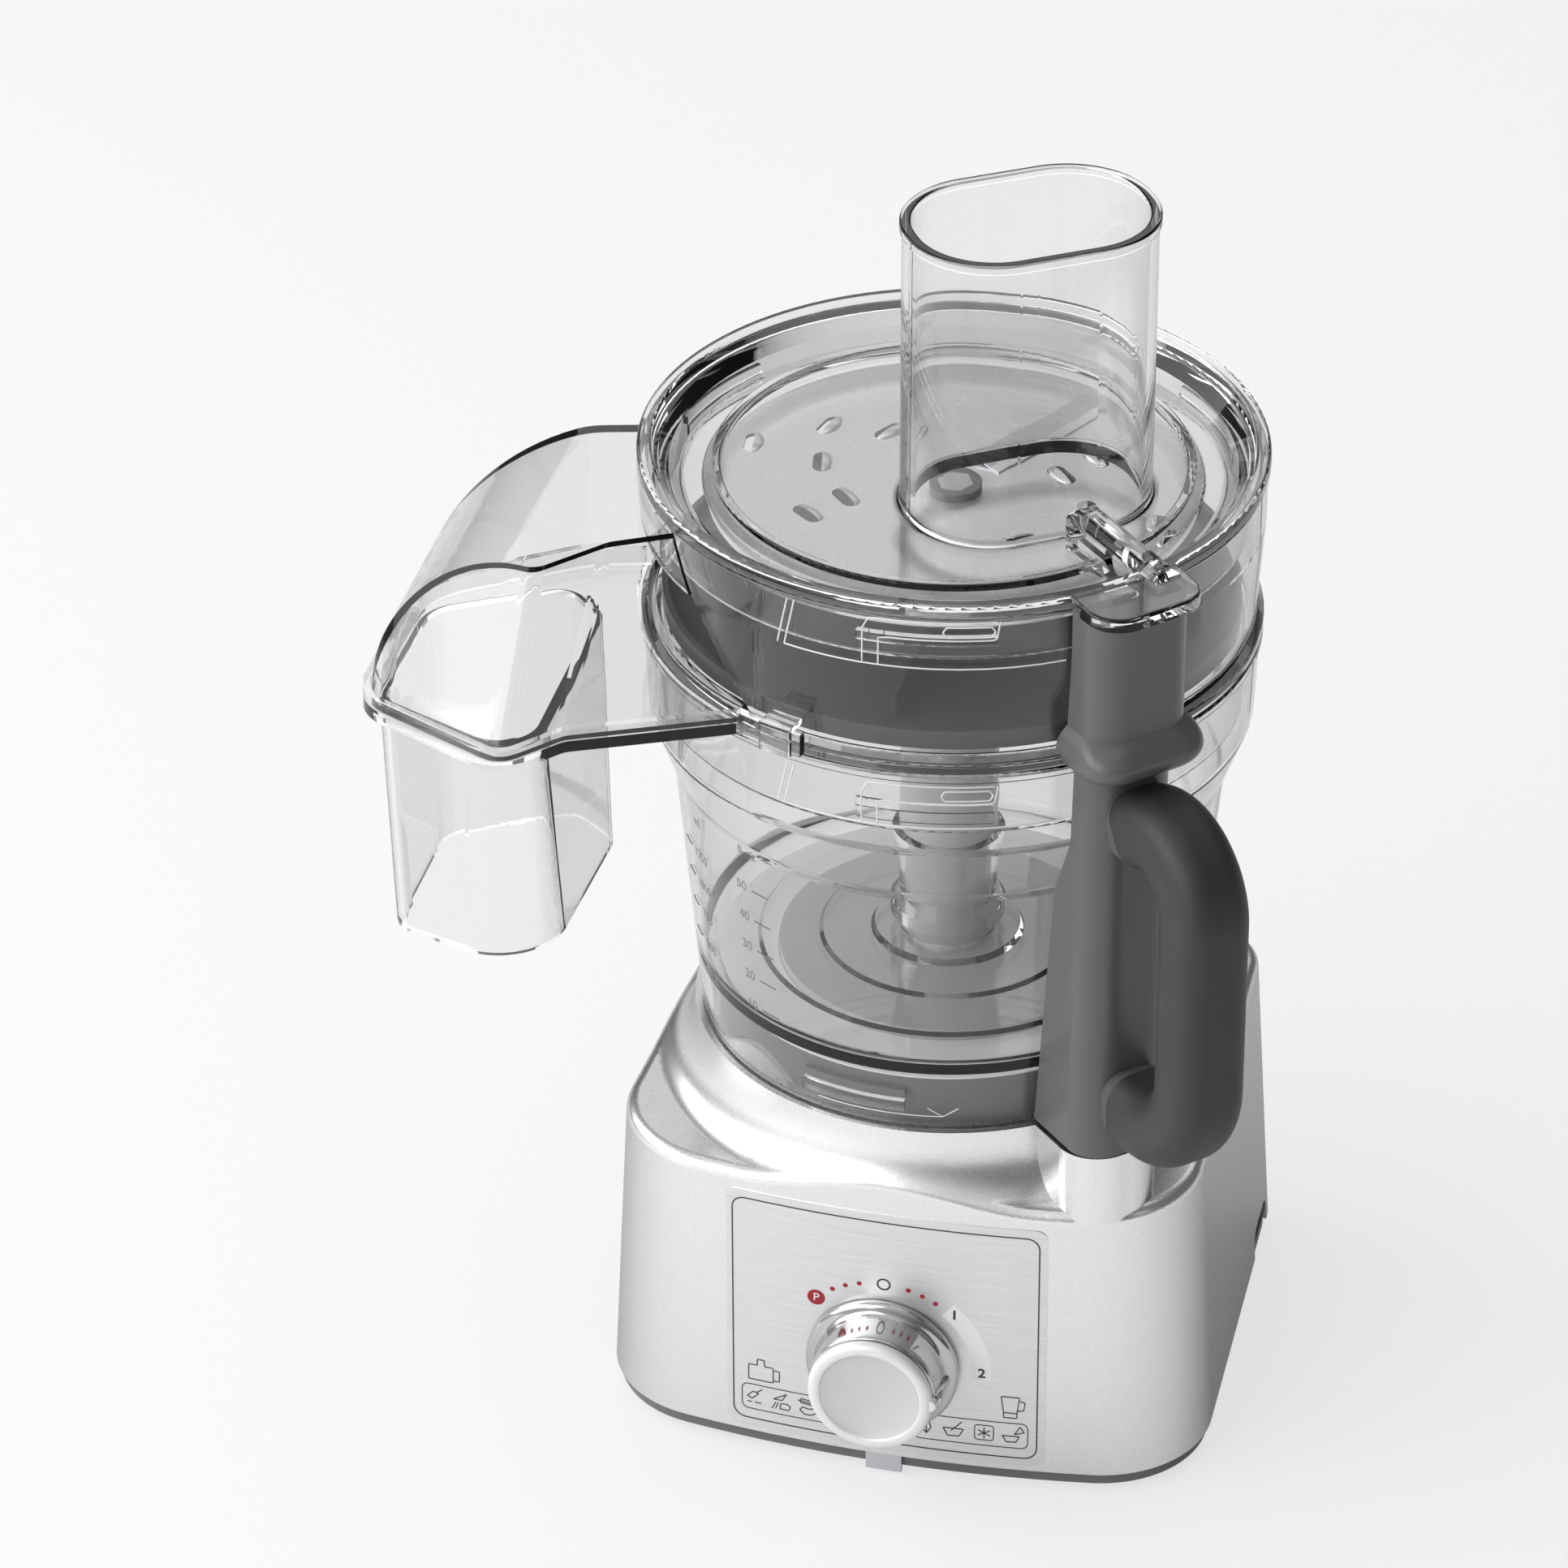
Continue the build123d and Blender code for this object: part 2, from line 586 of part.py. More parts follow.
# Parts fixed inside the base
pieces["selector_switch"] = (Pos(0, front_wall_y(KNOB_H) + SELECTOR_T / 2, KNOB_H)
                             * Box(SELECTOR_W, SELECTOR_T, SELECTOR_W) & shell_inside)
pieces["selector_switch"] -= spindle_hole
board = Pos(BOARD_X, BOARD_Y, board_foot + BOARD_T / 2) * Box(BOARD_W, BOARD_D, BOARD_T)
board_top = board_foot + BOARD_T
board += ring(0, BOARD_D / 6, board_top, board_top + BOARD_D / 2, BOARD_X - BOARD_W / 4, BOARD_Y)
choke = Pos(BOARD_X + BOARD_W / 5, BOARD_Y, board_top + BOARD_D / 6)
pieces["control_board"] = board + choke * Box(BOARD_W / 3, BOARD_D / 2, BOARD_D / 3)
pieces["cord_inlet"] = inlet_plug - inlet_line * extrude(Circle(INLET_BORE_R), amount=INLET_L)
sense_top = DECK_H - SHELL_WALL - PLUNGER_TAIL
sense = Pos(ROD_AT_R - SENSE_D / 2, 0, sense_top - SENSE_H / 2) * Box(SENSE_D, SENSE_W, SENSE_H)
pieces["interlock_switch"] = (Rot(0, 0, HANDLE_DEG) * sense) & shell_inside

# Chassis with the spindle's lower bush
chassis_top = CHASSIS_FOOT + CHASSIS_T
bush_r = SPINDLE_R + RUN_FIT + BUSH_WALL
chassis = Pos(0, (CHASSIS_BACK - CHASSIS_FRONT) / 2, CHASSIS_FOOT + CHASSIS_T / 2) * Box(
    2 * CHASSIS_HALF_W, CHASSIS_FRONT + CHASSIS_BACK, CHASSIS_T)
leg_spots = [(side * (CHASSIS_HALF_W - CHASSIS_LEG_IN), y) for side in (-1, 1)
             for y in (CHASSIS_LEG_IN - CHASSIS_FRONT, CHASSIS_BACK - CHASSIS_LEG_IN)]
chassis = fused(chassis, [ring(0, CHASSIS_LEG_R, SHELL_FOOT_H, chassis_top, x, y) for x, y in leg_spots])
chassis += ring(0, bush_r + BUSH_HOUSING, CHASSIS_FOOT, CHASSIS_FOOT + LOWER_BUSH_L)
chassis -= ring(0, bush_r, CHASSIS_FOOT, CHASSIS_FOOT + LOWER_BUSH_L)
chassis -= ring(0, MOTOR_PULLEY_R + BELT_T, CHASSIS_FOOT, chassis_top, 0, MOTOR_Y)
pieces["chassis"] = chassis

# Motor
stator = RectangleRounded(2 * STATOR_HALF_W, 2 * STATOR_HALF_D, STATOR_CORNER_R) - Circle(STATOR_BORE_R)
stator_top = STATOR_FOOT + STATOR_H
pieces["stator"] = Pos(0, MOTOR_Y, STATOR_FOOT) * extrude(stator, amount=STATOR_H)


def motor_bracket(plate_foot, post_from, post_to):
    plate = Pos(0, MOTOR_Y, plate_foot + BRACKET_T / 2) * Box(2 * STATOR_HALF_W, BRACKET_D, BRACKET_T)
    plate -= ring(0, MOTOR_SHAFT_R + RUN_FIT, plate_foot, plate_foot + BRACKET_T, 0, MOTOR_Y)
    posts = [ring(0, PILLAR_R, post_from, post_to, side * PILLAR_X, MOTOR_Y) for side in (-1, 1)]
    return fused(plate, posts)


commutator_foot = stator_top + AIR_GAP
bracket_up = commutator_foot + COMMUTATOR_H + BRACKET_ROOM
bracket_top = bracket_up + BRACKET_T
pieces["motor_brackets"] = Compound([motor_bracket(BRACKET_FOOT, chassis_top, STATOR_FOOT),
                                     motor_bracket(bracket_up, stator_top, bracket_top)])
pieces["motor_shaft"] = ring(0, MOTOR_SHAFT_R, PULLEY_FOOT, bracket_top + MOTOR_SHAFT_END, 0, MOTOR_Y)
armature_r = STATOR_BORE_R - AIR_GAP
armature = ring(MOTOR_SHAFT_R, armature_r, STATOR_FOOT, stator_top)
slot = Box(SLOT_DEPTH, SLOT_W, 4 * STATOR_H)
armature -= [loc * slot for loc in PolarLocations(armature_r - SLOT_DEPTH / 2, SLOT_COUNT)]
pieces["armature"] = Pos(0, MOTOR_Y, 0) * (armature & slab(STATOR_FOOT, stator_top))
commutator = ring(MOTOR_SHAFT_R, COMMUTATOR_R, commutator_foot, commutator_foot + COMMUTATOR_H)
pieces["commutator"] = Pos(0, MOTOR_Y, 0) * commutator
fan_foot = BRACKET_FOOT + BRACKET_T + AIR_GAP
fan = ring(MOTOR_SHAFT_R, FAN_HUB_R, fan_foot, fan_foot + FAN_H)
fan += ring(FAN_HUB_R, FAN_R, fan_foot, fan_foot + FAN_PLATE)
fan_blade = Pos(0, 0, fan_foot + FAN_H / 2) * Box(FAN_R - FAN_HUB_R, FAN_PLATE, FAN_H - FAN_PLATE)
blade_r = (FAN_R + FAN_HUB_R) / 2 - FAN_PLATE
fan = fused(fan, [loc * fan_blade for loc in PolarLocations(blade_r, FAN_BLADES)])
pieces["cooling_fan"] = Pos(0, MOTOR_Y, 0) * fan
pulley_top = PULLEY_FOOT + PULLEY_H
motor_rim = grooved_rim(MOTOR_PULLEY_R, PULLEY_FOOT, PULLEY_H)
motor_pulley = turned([(MOTOR_SHAFT_R, PULLEY_FOOT)] + motor_rim + [(MOTOR_SHAFT_R, pulley_top)])
pieces["motor_pulley"] = Pos(0, MOTOR_Y, 0) * motor_pulley

# Belt drive
web_foot = PULLEY_FOOT + (PULLEY_H - PULLEY_WEB) / 2
rim_in = DRIVE_PULLEY_R - PULLEY_RIM
hub_out = SPINDLE_R + BUSH_WALL
pieces["drive_pulley"] = turned(
    [(SPINDLE_R, PULLEY_FOOT), (hub_out, PULLEY_FOOT), (hub_out, web_foot), (rim_in, web_foot),
     (rim_in, PULLEY_FOOT)]
    + grooved_rim(DRIVE_PULLEY_R, PULLEY_FOOT, PULLEY_H)
    + [(rim_in, pulley_top), (rim_in, web_foot + PULLEY_WEB), (hub_out, web_foot + PULLEY_WEB),
       (hub_out, pulley_top), (SPINDLE_R, pulley_top)])


def belt_loop(gap):
    motor_end = Pos(0, MOTOR_Y) * Circle(MOTOR_PULLEY_R + gap)
    return make_hull(Circle(DRIVE_PULLEY_R + gap).edges() + motor_end.edges())


belt_face = belt_loop(BELT_GAP + BELT_T) - belt_loop(BELT_GAP)
pieces["drive_belt"] = Pos(0, 0, PULLEY_FOOT + LOOSE) * extrude(belt_face, amount=PULLEY_H - 2 * LOOSE)

# Bowl seat on the boss, with the spindle's upper bush
seat_top = BOSS_H + SEAT_H
seat_hub_r = bush_r + BUSH_HOUSING
seat_hub_foot = seat_top - SEAT_HUB_L
seat_step_top = seat_top - SEAT_STEP
seat_step_in = SEAT_STEP_R - SEAT_WALL
spigot_in = SEAT_SPIGOT_R - SEAT_WALL
spigot_foot = BOSS_H - SEAT_SPIGOT_L
seat = turned([(bush_r, seat_hub_foot), (seat_hub_r, seat_hub_foot), (seat_hub_r, seat_top - SEAT_WALL),
               (seat_step_in, seat_top - SEAT_WALL), (seat_step_in, seat_step_top - SEAT_WALL),
               (spigot_in, seat_step_top - SEAT_WALL), (spigot_in, spigot_foot),
               (SEAT_SPIGOT_R, spigot_foot), (SEAT_SPIGOT_R, BOSS_H), (SEAT_R, BOSS_H),
               (SEAT_R, seat_step_top), (SEAT_STEP_R, seat_step_top), (SEAT_STEP_R, seat_top),
               (bush_r, seat_top)])
seat_ledge_h = SEAT_LUG_H + LUG_H + LOOSE
seat_ledges = lugs(SEAT_R - BAYONET_REACH, SEAT_R + BAYONET_REACH, seat_ledge_h, LEDGE_H, SEAT_LUG_DEG)
pieces["bowl_seat"] = fused(seat, seat_ledges)
pieces["spindle_bushes"] = Compound([
    ring(SPINDLE_R + RUN_FIT, bush_r, CHASSIS_FOOT, CHASSIS_FOOT + LOWER_BUSH_L),
    ring(SPINDLE_R + RUN_FIT, bush_r, seat_hub_foot, seat_hub_foot + UPPER_BUSH_L)])

# Spindle and drive dog
dog_foot = seat_top + STACK_GAP
dog_top = BOWL_FLOOR_H + DOG_H
pieces["drive_spindle"] = ring(0, SPINDLE_R, PULLEY_FOOT, dog_top - DOG_H / 3)
dog = hexagon(DOG_ACROSS, dog_foot, dog_top) + ring(0, DOG_FLANGE_R, dog_foot, BOWL_FLOOR_H)
pieces["drive_dog"] = dog - ring(0, SPINDLE_R, dog_foot, dog_top - DOG_H / 3)

# Knob, turned about the panel's normal

knob_back = -front_wall_y(KNOB_H) + PANEL_PROUD + KNOB_GAP


def knob_turned(points, rounds=()):
    """A solid of revolution about the knob's axis from (radius, distance out from the panel) points."""
    solid = revolve(Plane.XZ * outline(points, rounds), Axis.Z)
    return Pos(0, -knob_back, KNOB_H) * Rot(90, 0, 0) * solid


skirt_flare = (KNOB_SKIRT_R - KNOB_WAIST_R) * 2 / 3
knob_skirt = knob_turned([(KNOB_SPINDLE_R, 0), (KNOB_SKIRT_R, 0), (KNOB_SKIRT_R, KNOB_SKIRT_L / 8),
                          (KNOB_SKIRT_R - skirt_flare, KNOB_SKIRT_L / 8), (KNOB_WAIST_R, KNOB_SKIRT_L),
                          (KNOB_SPINDLE_R, KNOB_SKIRT_L)], [(3, skirt_flare)])
pointer = Pos(KNOB_WAIST_R, -knob_back - KNOB_SKIRT_L / 2, KNOB_H) * Rot(90, 0, 0)
pieces["knob_skirt"] = knob_skirt + pointer * Cylinder(POINTER_R, KNOB_SKIRT_L)
dish_floor = KNOB_REACH - KNOB_DISH_DEPTH
pieces["knob_cap"] = knob_turned([(0, KNOB_SKIRT_L), (KNOB_FACE_R, KNOB_SKIRT_L), (KNOB_FACE_R, dish_floor),
                                  (KNOB_FACE_R - KNOB_DISH_DEPTH, KNOB_REACH), (KNOB_DISH_R, KNOB_REACH),
                                  (KNOB_DISH_R - KNOB_DISH_DEPTH, dish_floor), (0, dish_floor)],
                                 [(3, EDGE_ROUND), (4, EDGE_ROUND), (5, EDGE_ROUND)])
spindle_end = KNOB_SKIRT_L - KNOB_SPINDLE_L
pieces["knob_spindle"] = knob_turned([(0, spindle_end), (KNOB_SPINDLE_R, spindle_end),
                                      (KNOB_SPINDLE_R, KNOB_SKIRT_L), (0, KNOB_SKIRT_L)])

# Bowl
bowl_foot = BOSS_H + LOOSE


def bowl_wall_r(height):
    return BOWL_FOOT_R + (BOWL_NECK_R - BOWL_FOOT_R) * (height - bowl_foot) / (BOWL_NECK_H - bowl_foot)


rim_foot = BOWL_RIM_H - BOWL_RIM_T
floor_foot = BOWL_FLOOR_H - CLEAR_WALL
tube_r = TUBE_BORE_R + TUBE_WALL
bowl_outer = [(bowl_wall_r(bowl_foot), bowl_foot), (BOWL_NECK_R, BOWL_NECK_H), (BAND_FOOT_R, BAND_FOOT_H),
              (BAND_TOP_R, rim_foot), (BOWL_RIM_R, rim_foot), (BOWL_RIM_R, BOWL_RIM_H)]
bowl_inner = [(BAND_TOP_R - CLEAR_WALL, BOWL_RIM_H), (BAND_FOOT_R - CLEAR_WALL, BAND_FOOT_H),
              (BOWL_NECK_R - CLEAR_WALL, BOWL_NECK_H),
              (bowl_wall_r(BOWL_FLOOR_H) - CLEAR_WALL, BOWL_FLOOR_H)]
bulge = TUBE_BULGE_T / 3
floor_steps = []
for k, ring_r in enumerate(FLOOR_RING_R):
    step_foot = BOWL_FLOOR_H + k * FLOOR_STEP
    floor_steps += [(ring_r, step_foot), (ring_r - FLOOR_STEP, step_foot + FLOOR_STEP)]
puck_foot = BOWL_FLOOR_H + len(FLOOR_RING_R) * FLOOR_STEP
floor_steps += [(PUCK_R, puck_foot), (PUCK_R - FLOOR_STEP, puck_foot + PUCK_RISE)]
tube_outer = [(tube_r, puck_foot + PUCK_RISE), (tube_r, TUBE_BULGE_H - TUBE_BULGE_T),
              (TUBE_BULGE_R, TUBE_BULGE_H - bulge), (TUBE_BULGE_R, TUBE_BULGE_H + bulge),
              (tube_r, TUBE_BULGE_H + TUBE_BULGE_T), (tube_r, TUBE_TOP - TUBE_COLLAR_H),
              (TUBE_COLLAR_R, TUBE_TOP - CLEAR_WALL), (TUBE_COLLAR_R, TUBE_TOP)]
bowl_under = [(TUBE_BORE_R, TUBE_TOP), (TUBE_BORE_R, floor_foot),
              (bowl_wall_r(floor_foot) - CLEAR_WALL, floor_foot),
              (bowl_wall_r(bowl_foot) - CLEAR_WALL, bowl_foot)]
bowl_rounds = [(1, NECK_BEND_R), (2, BAND_BEND_R), (7, BAND_BEND_R - CLEAR_WALL),
               (8, NECK_BEND_R + CLEAR_WALL), (9, FLOOR_BEND_R), (0, EDGE_ROUND), (5, RIM_ROUND),
               (6, EDGE_ROUND)]
bowl = turned(bowl_outer + bowl_inner + floor_steps + tube_outer + bowl_under, bowl_rounds)
skirt_in = bowl_wall_r(SEAT_LUG_H) - CLEAR_WALL
bowl = fused(bowl, lugs(SEAT_R + LOOSE, skirt_in + LOOSE, SEAT_LUG_H, LUG_H, SEAT_LUG_DEG))
band_in = BAND_FOOT_R - CLEAR_WALL
band_ledge_h = BAND_LUG_H + LUG_H + LOOSE
bowl = fused(bowl, lugs(SKIRT_R + LOOSE, band_in + BAYONET_REACH, band_ledge_h, LEDGE_H, BAND_LUG_DEG))
pieces["mixing_bowl"] = bowl
bowl_core = turned(bowl_outer + [(0, BOWL_RIM_H), (0, bowl_foot)], bowl_rounds[:2])

# Handle on the bowl
tower_top = BOSS_H
bowl_column_foot = tower_top + STACK_GAP
column_block = column(0, BOWL_COLUMN_R, BOWL_COLUMN_HALF_W, bowl_column_foot, BOWL_RIM_H)
root_r = BOWL_COLUMN_R - COLUMN_CORNER_R
neck_r = BOWL_COLUMN_R + FERRULE_PROUD
arm_slope = math.tan(math.radians(GRIP_RISE_DEG))
grip_path = Plane.XZ * FilletPolyline(
    (neck_r, GRIP_ROOT_H + (neck_r - root_r) * arm_slope),
    (GRIP_R, GRIP_ROOT_H + (GRIP_R - root_r) * arm_slope),
    (GRIP_R, GRIP_FOOT), (neck_r, GRIP_FOOT), radius=[GRIP_BEND_TOP, GRIP_BEND_FOOT])
grip_section = RectangleRounded(GRIP_W, GRIP_W, GRIP_CORNER_R)
root_section = RectangleRounded(FERRULE_W, FERRULE_W, FERRULE_CORNER_R)


def ferrule(neck, run, root_h):
    """The cone between the column and the end of the grip; run is the arm's direction."""
    ends = [Plane(Vector(root_r, 0, root_h), z_dir=run) * root_section, Plane(neck, z_dir=run) * grip_section]
    return Rot(0, 0, HANDLE_DEG) * loft(ends, ruled=True)


bowl_column = column_block + ferrule(grip_path @ 0, grip_path % 0, GRIP_ROOT_H)
bowl_column = bowl_column + ferrule(grip_path @ 1, -(grip_path % 1), GRIP_FOOT) - bowl_core
pocket_top = SPRING_FOOT + SPRING_L + ROD_COLLAR_T + ROD_TRAVEL + LOOSE
bowl_column -= rod_line(ROD_R + GUIDE, bowl_column_foot, BOWL_RIM_H)
bowl_column -= rod_line(SPRING_POCKET_R, SPRING_FOOT, pocket_top)
pieces["handle_column"] = bowl_column
grip = sweep(Plane(grip_path @ 0, z_dir=grip_path % 0) * grip_section, path=grip_path)
pieces["handle_grip"] = Rot(0, 0, HANDLE_DEG) * grip - column_block

# Interlock train: plunger in the base, rod in the bowl column, rod in the housing column
collar_foot = SPRING_FOOT + SPRING_L
pieces["switch_plunger"] = rod_line(ROD_R, sense_top, tower_top)
pieces["bowl_rod"] = rod_line(ROD_R, bowl_column_foot, BOWL_RIM_H) + rod_line(
    SPRING_POCKET_R - GUIDE, collar_foot, collar_foot + ROD_COLLAR_T)
coil_h = SPRING_L - 2 * SPRING_WIRE_R
coil = Helix(pitch=coil_h / SPRING_TURNS, height=coil_h, radius=SPRING_R)
spring = sweep(Plane(coil @ 0, z_dir=coil % 0) * Circle(SPRING_WIRE_R), path=coil, is_frenet=True)
pieces["rod_spring"] = Rot(0, 0, HANDLE_DEG) * Pos(ROD_AT_R, 0, SPRING_FOOT + SPRING_WIRE_R) * spring

# Serving housing with its hood
flange_foot = BOWL_RIM_H + LOOSE
flange_top = flange_foot + HOUSING_FLANGE_T
skirt_bore = SKIRT_R - CLEAR_WALL
housing_outer = [(BOWL_RIM_R, flange_foot), (BOWL_RIM_R, flange_top),
                 (HOUSING_FOOT_R, flange_top + CLEAR_WALL), (HOUSING_TOP_R, LID_SKIRT_FOOT),
                 (HOUSING_TOP_R, HOUSING_TOP_H)]
housing_inner = [(HOUSING_TOP_R - CLEAR_WALL, HOUSING_TOP_H), (HOUSING_TOP_R - CLEAR_WALL, LID_SKIRT_FOOT),
                 (HOUSING_FOOT_R - CLEAR_WALL, flange_top + CLEAR_WALL), (skirt_bore, flange_top),
                 (skirt_bore, SKIRT_FOOT_H), (SKIRT_R, SKIRT_FOOT_H), (SKIRT_R, flange_foot)]
housing_rounds = [(1, RIM_ROUND), (2, RIM_ROUND), (4, EDGE_ROUND)]
housing = turned(housing_outer + housing_inner, housing_rounds + [(k, EDGE_ROUND) for k in (5, 9, 10)])
housing_core = turned(housing_outer + [(0, HOUSING_TOP_H), (0, flange_foot)], housing_rounds)


def hood_block(inset):
    """The hood filled in: a leaning plan under a roof that falls away in a quarter ellipse on the left."""
    foot = outline(HOOD_FOOT_PLAN, HOOD_ROUNDS)
    roof = outline(HOOD_ROOF_PLAN, HOOD_ROUNDS)
    if inset:
        foot = offset(foot, amount=-inset, kind=Kind.INTERSECTION)
        roof = offset(roof, amount=-inset, kind=Kind.INTERSECTION)
    block = loft([Pos(0, 0, HOOD_FOOT_H) * foot, Pos(0, 0, HOOD_ROOF_H) * roof], ruled=True)
    arch = EllipticalCenterArc((-HOOD_ARCH_X, HOOD_FOOT_H), HOOD_LEFT - inset - HOOD_ARCH_X,
                               HOOD_ROOF_H - inset - HOOD_FOOT_H, start_angle=90, arc_size=90)
    rest = Polyline(arch @ 1, (0, HOOD_FOOT_H), (0, HOOD_ROOF_H - inset), arch @ 0)
    return block & extrude(Plane.XZ * make_face([arch, rest]), amount=2 * HOOD_LEFT, both=True)


hood_inside = hood_block(CLEAR_WALL)
hood = hood_block(0) - hood_inside - housing_core
housing = housing + hood - (hood_inside & slab(WINDOW_FOOT, WINDOW_TOP))
housing = fused(housing, lugs(skirt_bore, SKIRT_R + BAYONET_REACH / 2, BAND_LUG_H, LUG_H, BAND_LUG_DEG))
lid_ledge_h = LID_LUG_H + LUG_H + LOOSE
lid_ledges = lugs(LID_SKIRT_R + LOOSE, HOUSING_TOP_R - CLEAR_WALL / 2, lid_ledge_h, LEDGE_H, LID_LUG_DEG)
pieces["serve_housing"] = fused(housing, lid_ledges)
housing_column_foot = BOWL_RIM_H + STACK_GAP
housing_column = column(0, HOUSING_COLUMN_R, HOUSING_COLUMN_HALF_W, housing_column_foot, HOUSING_TOP_H)


def collar_plan(flare, height):
    plan = column_plan(0, HOUSING_COLUMN_R + flare, HOUSING_COLUMN_HALF_W + flare / 2, COLUMN_CORNER_R)
    return Pos(0, 0, housing_column_foot + height) * plan


housing_column += loft([collar_plan(COLUMN_FLARE / 2, 0), collar_plan(COLUMN_FLARE, COLUMN_FLARE_H / 3),
                        collar_plan(0, COLUMN_FLARE_H)])
rod_bore = rod_line(ROD_R + GUIDE, housing_column_foot, HOUSING_TOP_H)
pieces["housing_column"] = housing_column - housing_core - rod_bore
pieces["housing_rod"] = rod_line(ROD_R, housing_column_foot, HOUSING_TOP_H)

# Chute that closes the hood from below and hangs its spout outside the bowl
plate_top = HOOD_FOOT_H - HOOD_GAP
plate_foot = plate_top - CHUTE_PLATE_T
hood_foot_face = outline(HOOD_FOOT_PLAN, HOOD_ROUNDS)
collar_face = offset(hood_foot_face, amount=CHUTE_COLLAR, kind=Kind.INTERSECTION)
chute = Pos(0, 0, plate_foot) * extrude(collar_face, amount=CHUTE_PLATE_T + CHUTE_RIM_H)
hood_clear = offset(hood_foot_face, amount=HOOD_GAP, kind=Kind.INTERSECTION)
arm_in = BOWL_RIM_R + CHUTE_CLEAR
arm_top = plate_top + CHUTE_RIM_H
chute += sector(arm_in, arm_in + LATCH_ARM_T, plate_foot, arm_top, LATCH_ARM_MID, LATCH_ARM_SPAN)
chute -= Pos(0, 0, plate_top) * extrude(hood_clear, amount=CHUTE_RIM_H)


def spout_block(inset):
    top = outline(CHUTE_TOP_PLAN, CHUTE_TOP_ROUNDS)
    foot = outline(CHUTE_FOOT_PLAN, CHUTE_FOOT_ROUNDS)
    if inset:
        top = offset(top, amount=-inset, kind=Kind.INTERSECTION)
        foot = offset(foot, amount=-inset, kind=Kind.INTERSECTION)
    return loft([Pos(0, 0, CHUTE_FOOT_H) * foot, Pos(0, 0, plate_top) * top], ruled=True)


chute = chute + spout_block(0) - spout_block(CLEAR_WALL)
pieces["serving_chute"] = chute - ring(0, arm_in, CHUTE_FOOT_H, LID_TOP)
latch_in = arm_in + LATCH_ARM_T + HOOD_GAP
hook_foot = arm_top + HOOD_GAP
latch = sector(latch_in, latch_in + LATCH_T, plate_foot, hook_foot + LATCH_T, LATCH_MID, LATCH_SPAN)
hook_in = HOUSING_FOOT_R - CLEAR_WALL
latch += sector(hook_in, latch_in + LATCH_T, hook_foot, hook_foot + LATCH_T, LATCH_MID, LATCH_SPAN)
pieces["chute_latch"] = latch - housing_core

# Lid with its feed tube and tongue
lid_under = LID_TOP - LID_FLANGE_T
trough_under = LID_TROUGH_H - LID_T
lid = turned([(LID_R, LID_TOP), (LID_R, lid_under), (LID_SKIRT_R, lid_under), (LID_SKIRT_R, LID_SKIRT_FOOT),
              (LID_SKIRT_R - LID_T, LID_SKIRT_FOOT), (LID_SKIRT_R - LID_T, LID_TROUGH_H + LID_T),
              (LID_TROUGH_R + LID_T / 2, trough_under), (LID_PLATE_R + LID_T / 2, trough_under),
              (LID_PLATE_R - LID_BEAD_W, LID_PLATE_H - LID_T), (0, LID_PLATE_H - LID_T), (0, LID_PLATE_H),
              (LID_PLATE_R - LID_BEAD_W, LID_PLATE_H), (LID_PLATE_R - LID_BEAD_W, LID_PLATE_H + LID_BEAD_H),
              (LID_PLATE_R, LID_PLATE_H + LID_BEAD_H), (LID_PLATE_R + LID_T, LID_TROUGH_H),
              (LID_TROUGH_R, LID_TROUGH_H), (LID_RIM_IN, LID_TOP)],
             [(0, RIM_ROUND), (1, EDGE_ROUND), (3, EDGE_ROUND), (4, EDGE_ROUND), (12, EDGE_ROUND),
              (13, EDGE_ROUND), (14, RIM_ROUND), (15, 2 * RIM_ROUND), (16, RIM_ROUND)])


def feed_face(inset):
    return Pos(FEED_X, FEED_Y) * Rot(0, 0, FEED_DEG) * RectangleRounded(
        FEED_L - 2 * inset, FEED_W - 2 * inset, FEED_CORNER_R - inset)


def feed_prism(inset, foot, top):
    return Pos(0, 0, foot) * extrude(feed_face(inset), amount=top - foot)


lid += feed_prism(0, LID_PLATE_H - LID_T, FEED_TOP)
plate_edges = lid.edges().filter_by_position(Axis.Z, LID_PLATE_H - STACK_GAP / 2, LID_PLATE_H + STACK_GAP / 2)
lid = fillet([edge for edge in plate_edges if edge.length < FEED_L], FEED_FOOT_R)
tongue = column(LID_RIM_IN, TONGUE_R, TONGUE_HALF_W, lid_under, LID_TOP)
tongue_rim = tongue.edges().group_by(Axis.Z)[-1].sort_by_distance(Vector(0, 0, LID_TOP))
tongue = fillet(tongue_rim[1:], RIM_ROUND)
ridge_foot = LID_TROUGH_H - LID_T / 2
ridge_h = LID_TOP + RIDGE_H - ridge_foot
ridge = Box(RIDGE_TO - RIDGE_FROM, RIDGE_W, ridge_h)
ridge = fillet(ridge.edges().group_by(Axis.Z)[-1], RIDGE_ROUND)
ridge = Rot(0, 0, HANDLE_DEG) * Pos((RIDGE_FROM + RIDGE_TO) / 2, RIDGE_SIDE, ridge_foot + ridge_h / 2) * ridge
lid = lid + tongue + ridge - ring(LID_SKIRT_R, TONGUE_R, LID_SKIRT_FOOT, lid_under)
lid += feed_prism(-FEED_LIP, FEED_TOP - FEED_LIP_H, FEED_TOP)
lid -= feed_prism(FEED_WALL, LID_PLATE_H - 2 * LID_T, FEED_TOP)
lid = fillet(lid.edges().group_by(Axis.Z)[-1], EDGE_ROUND)
cam_mid = HANDLE_DEG - CAM_SPAN / 2
cam_r = ROD_R + GUIDE
lid -= sector(ROD_AT_R - cam_r, ROD_AT_R + cam_r, lid_under, lid_under + CAM_DEPTH, cam_mid, CAM_SPAN)
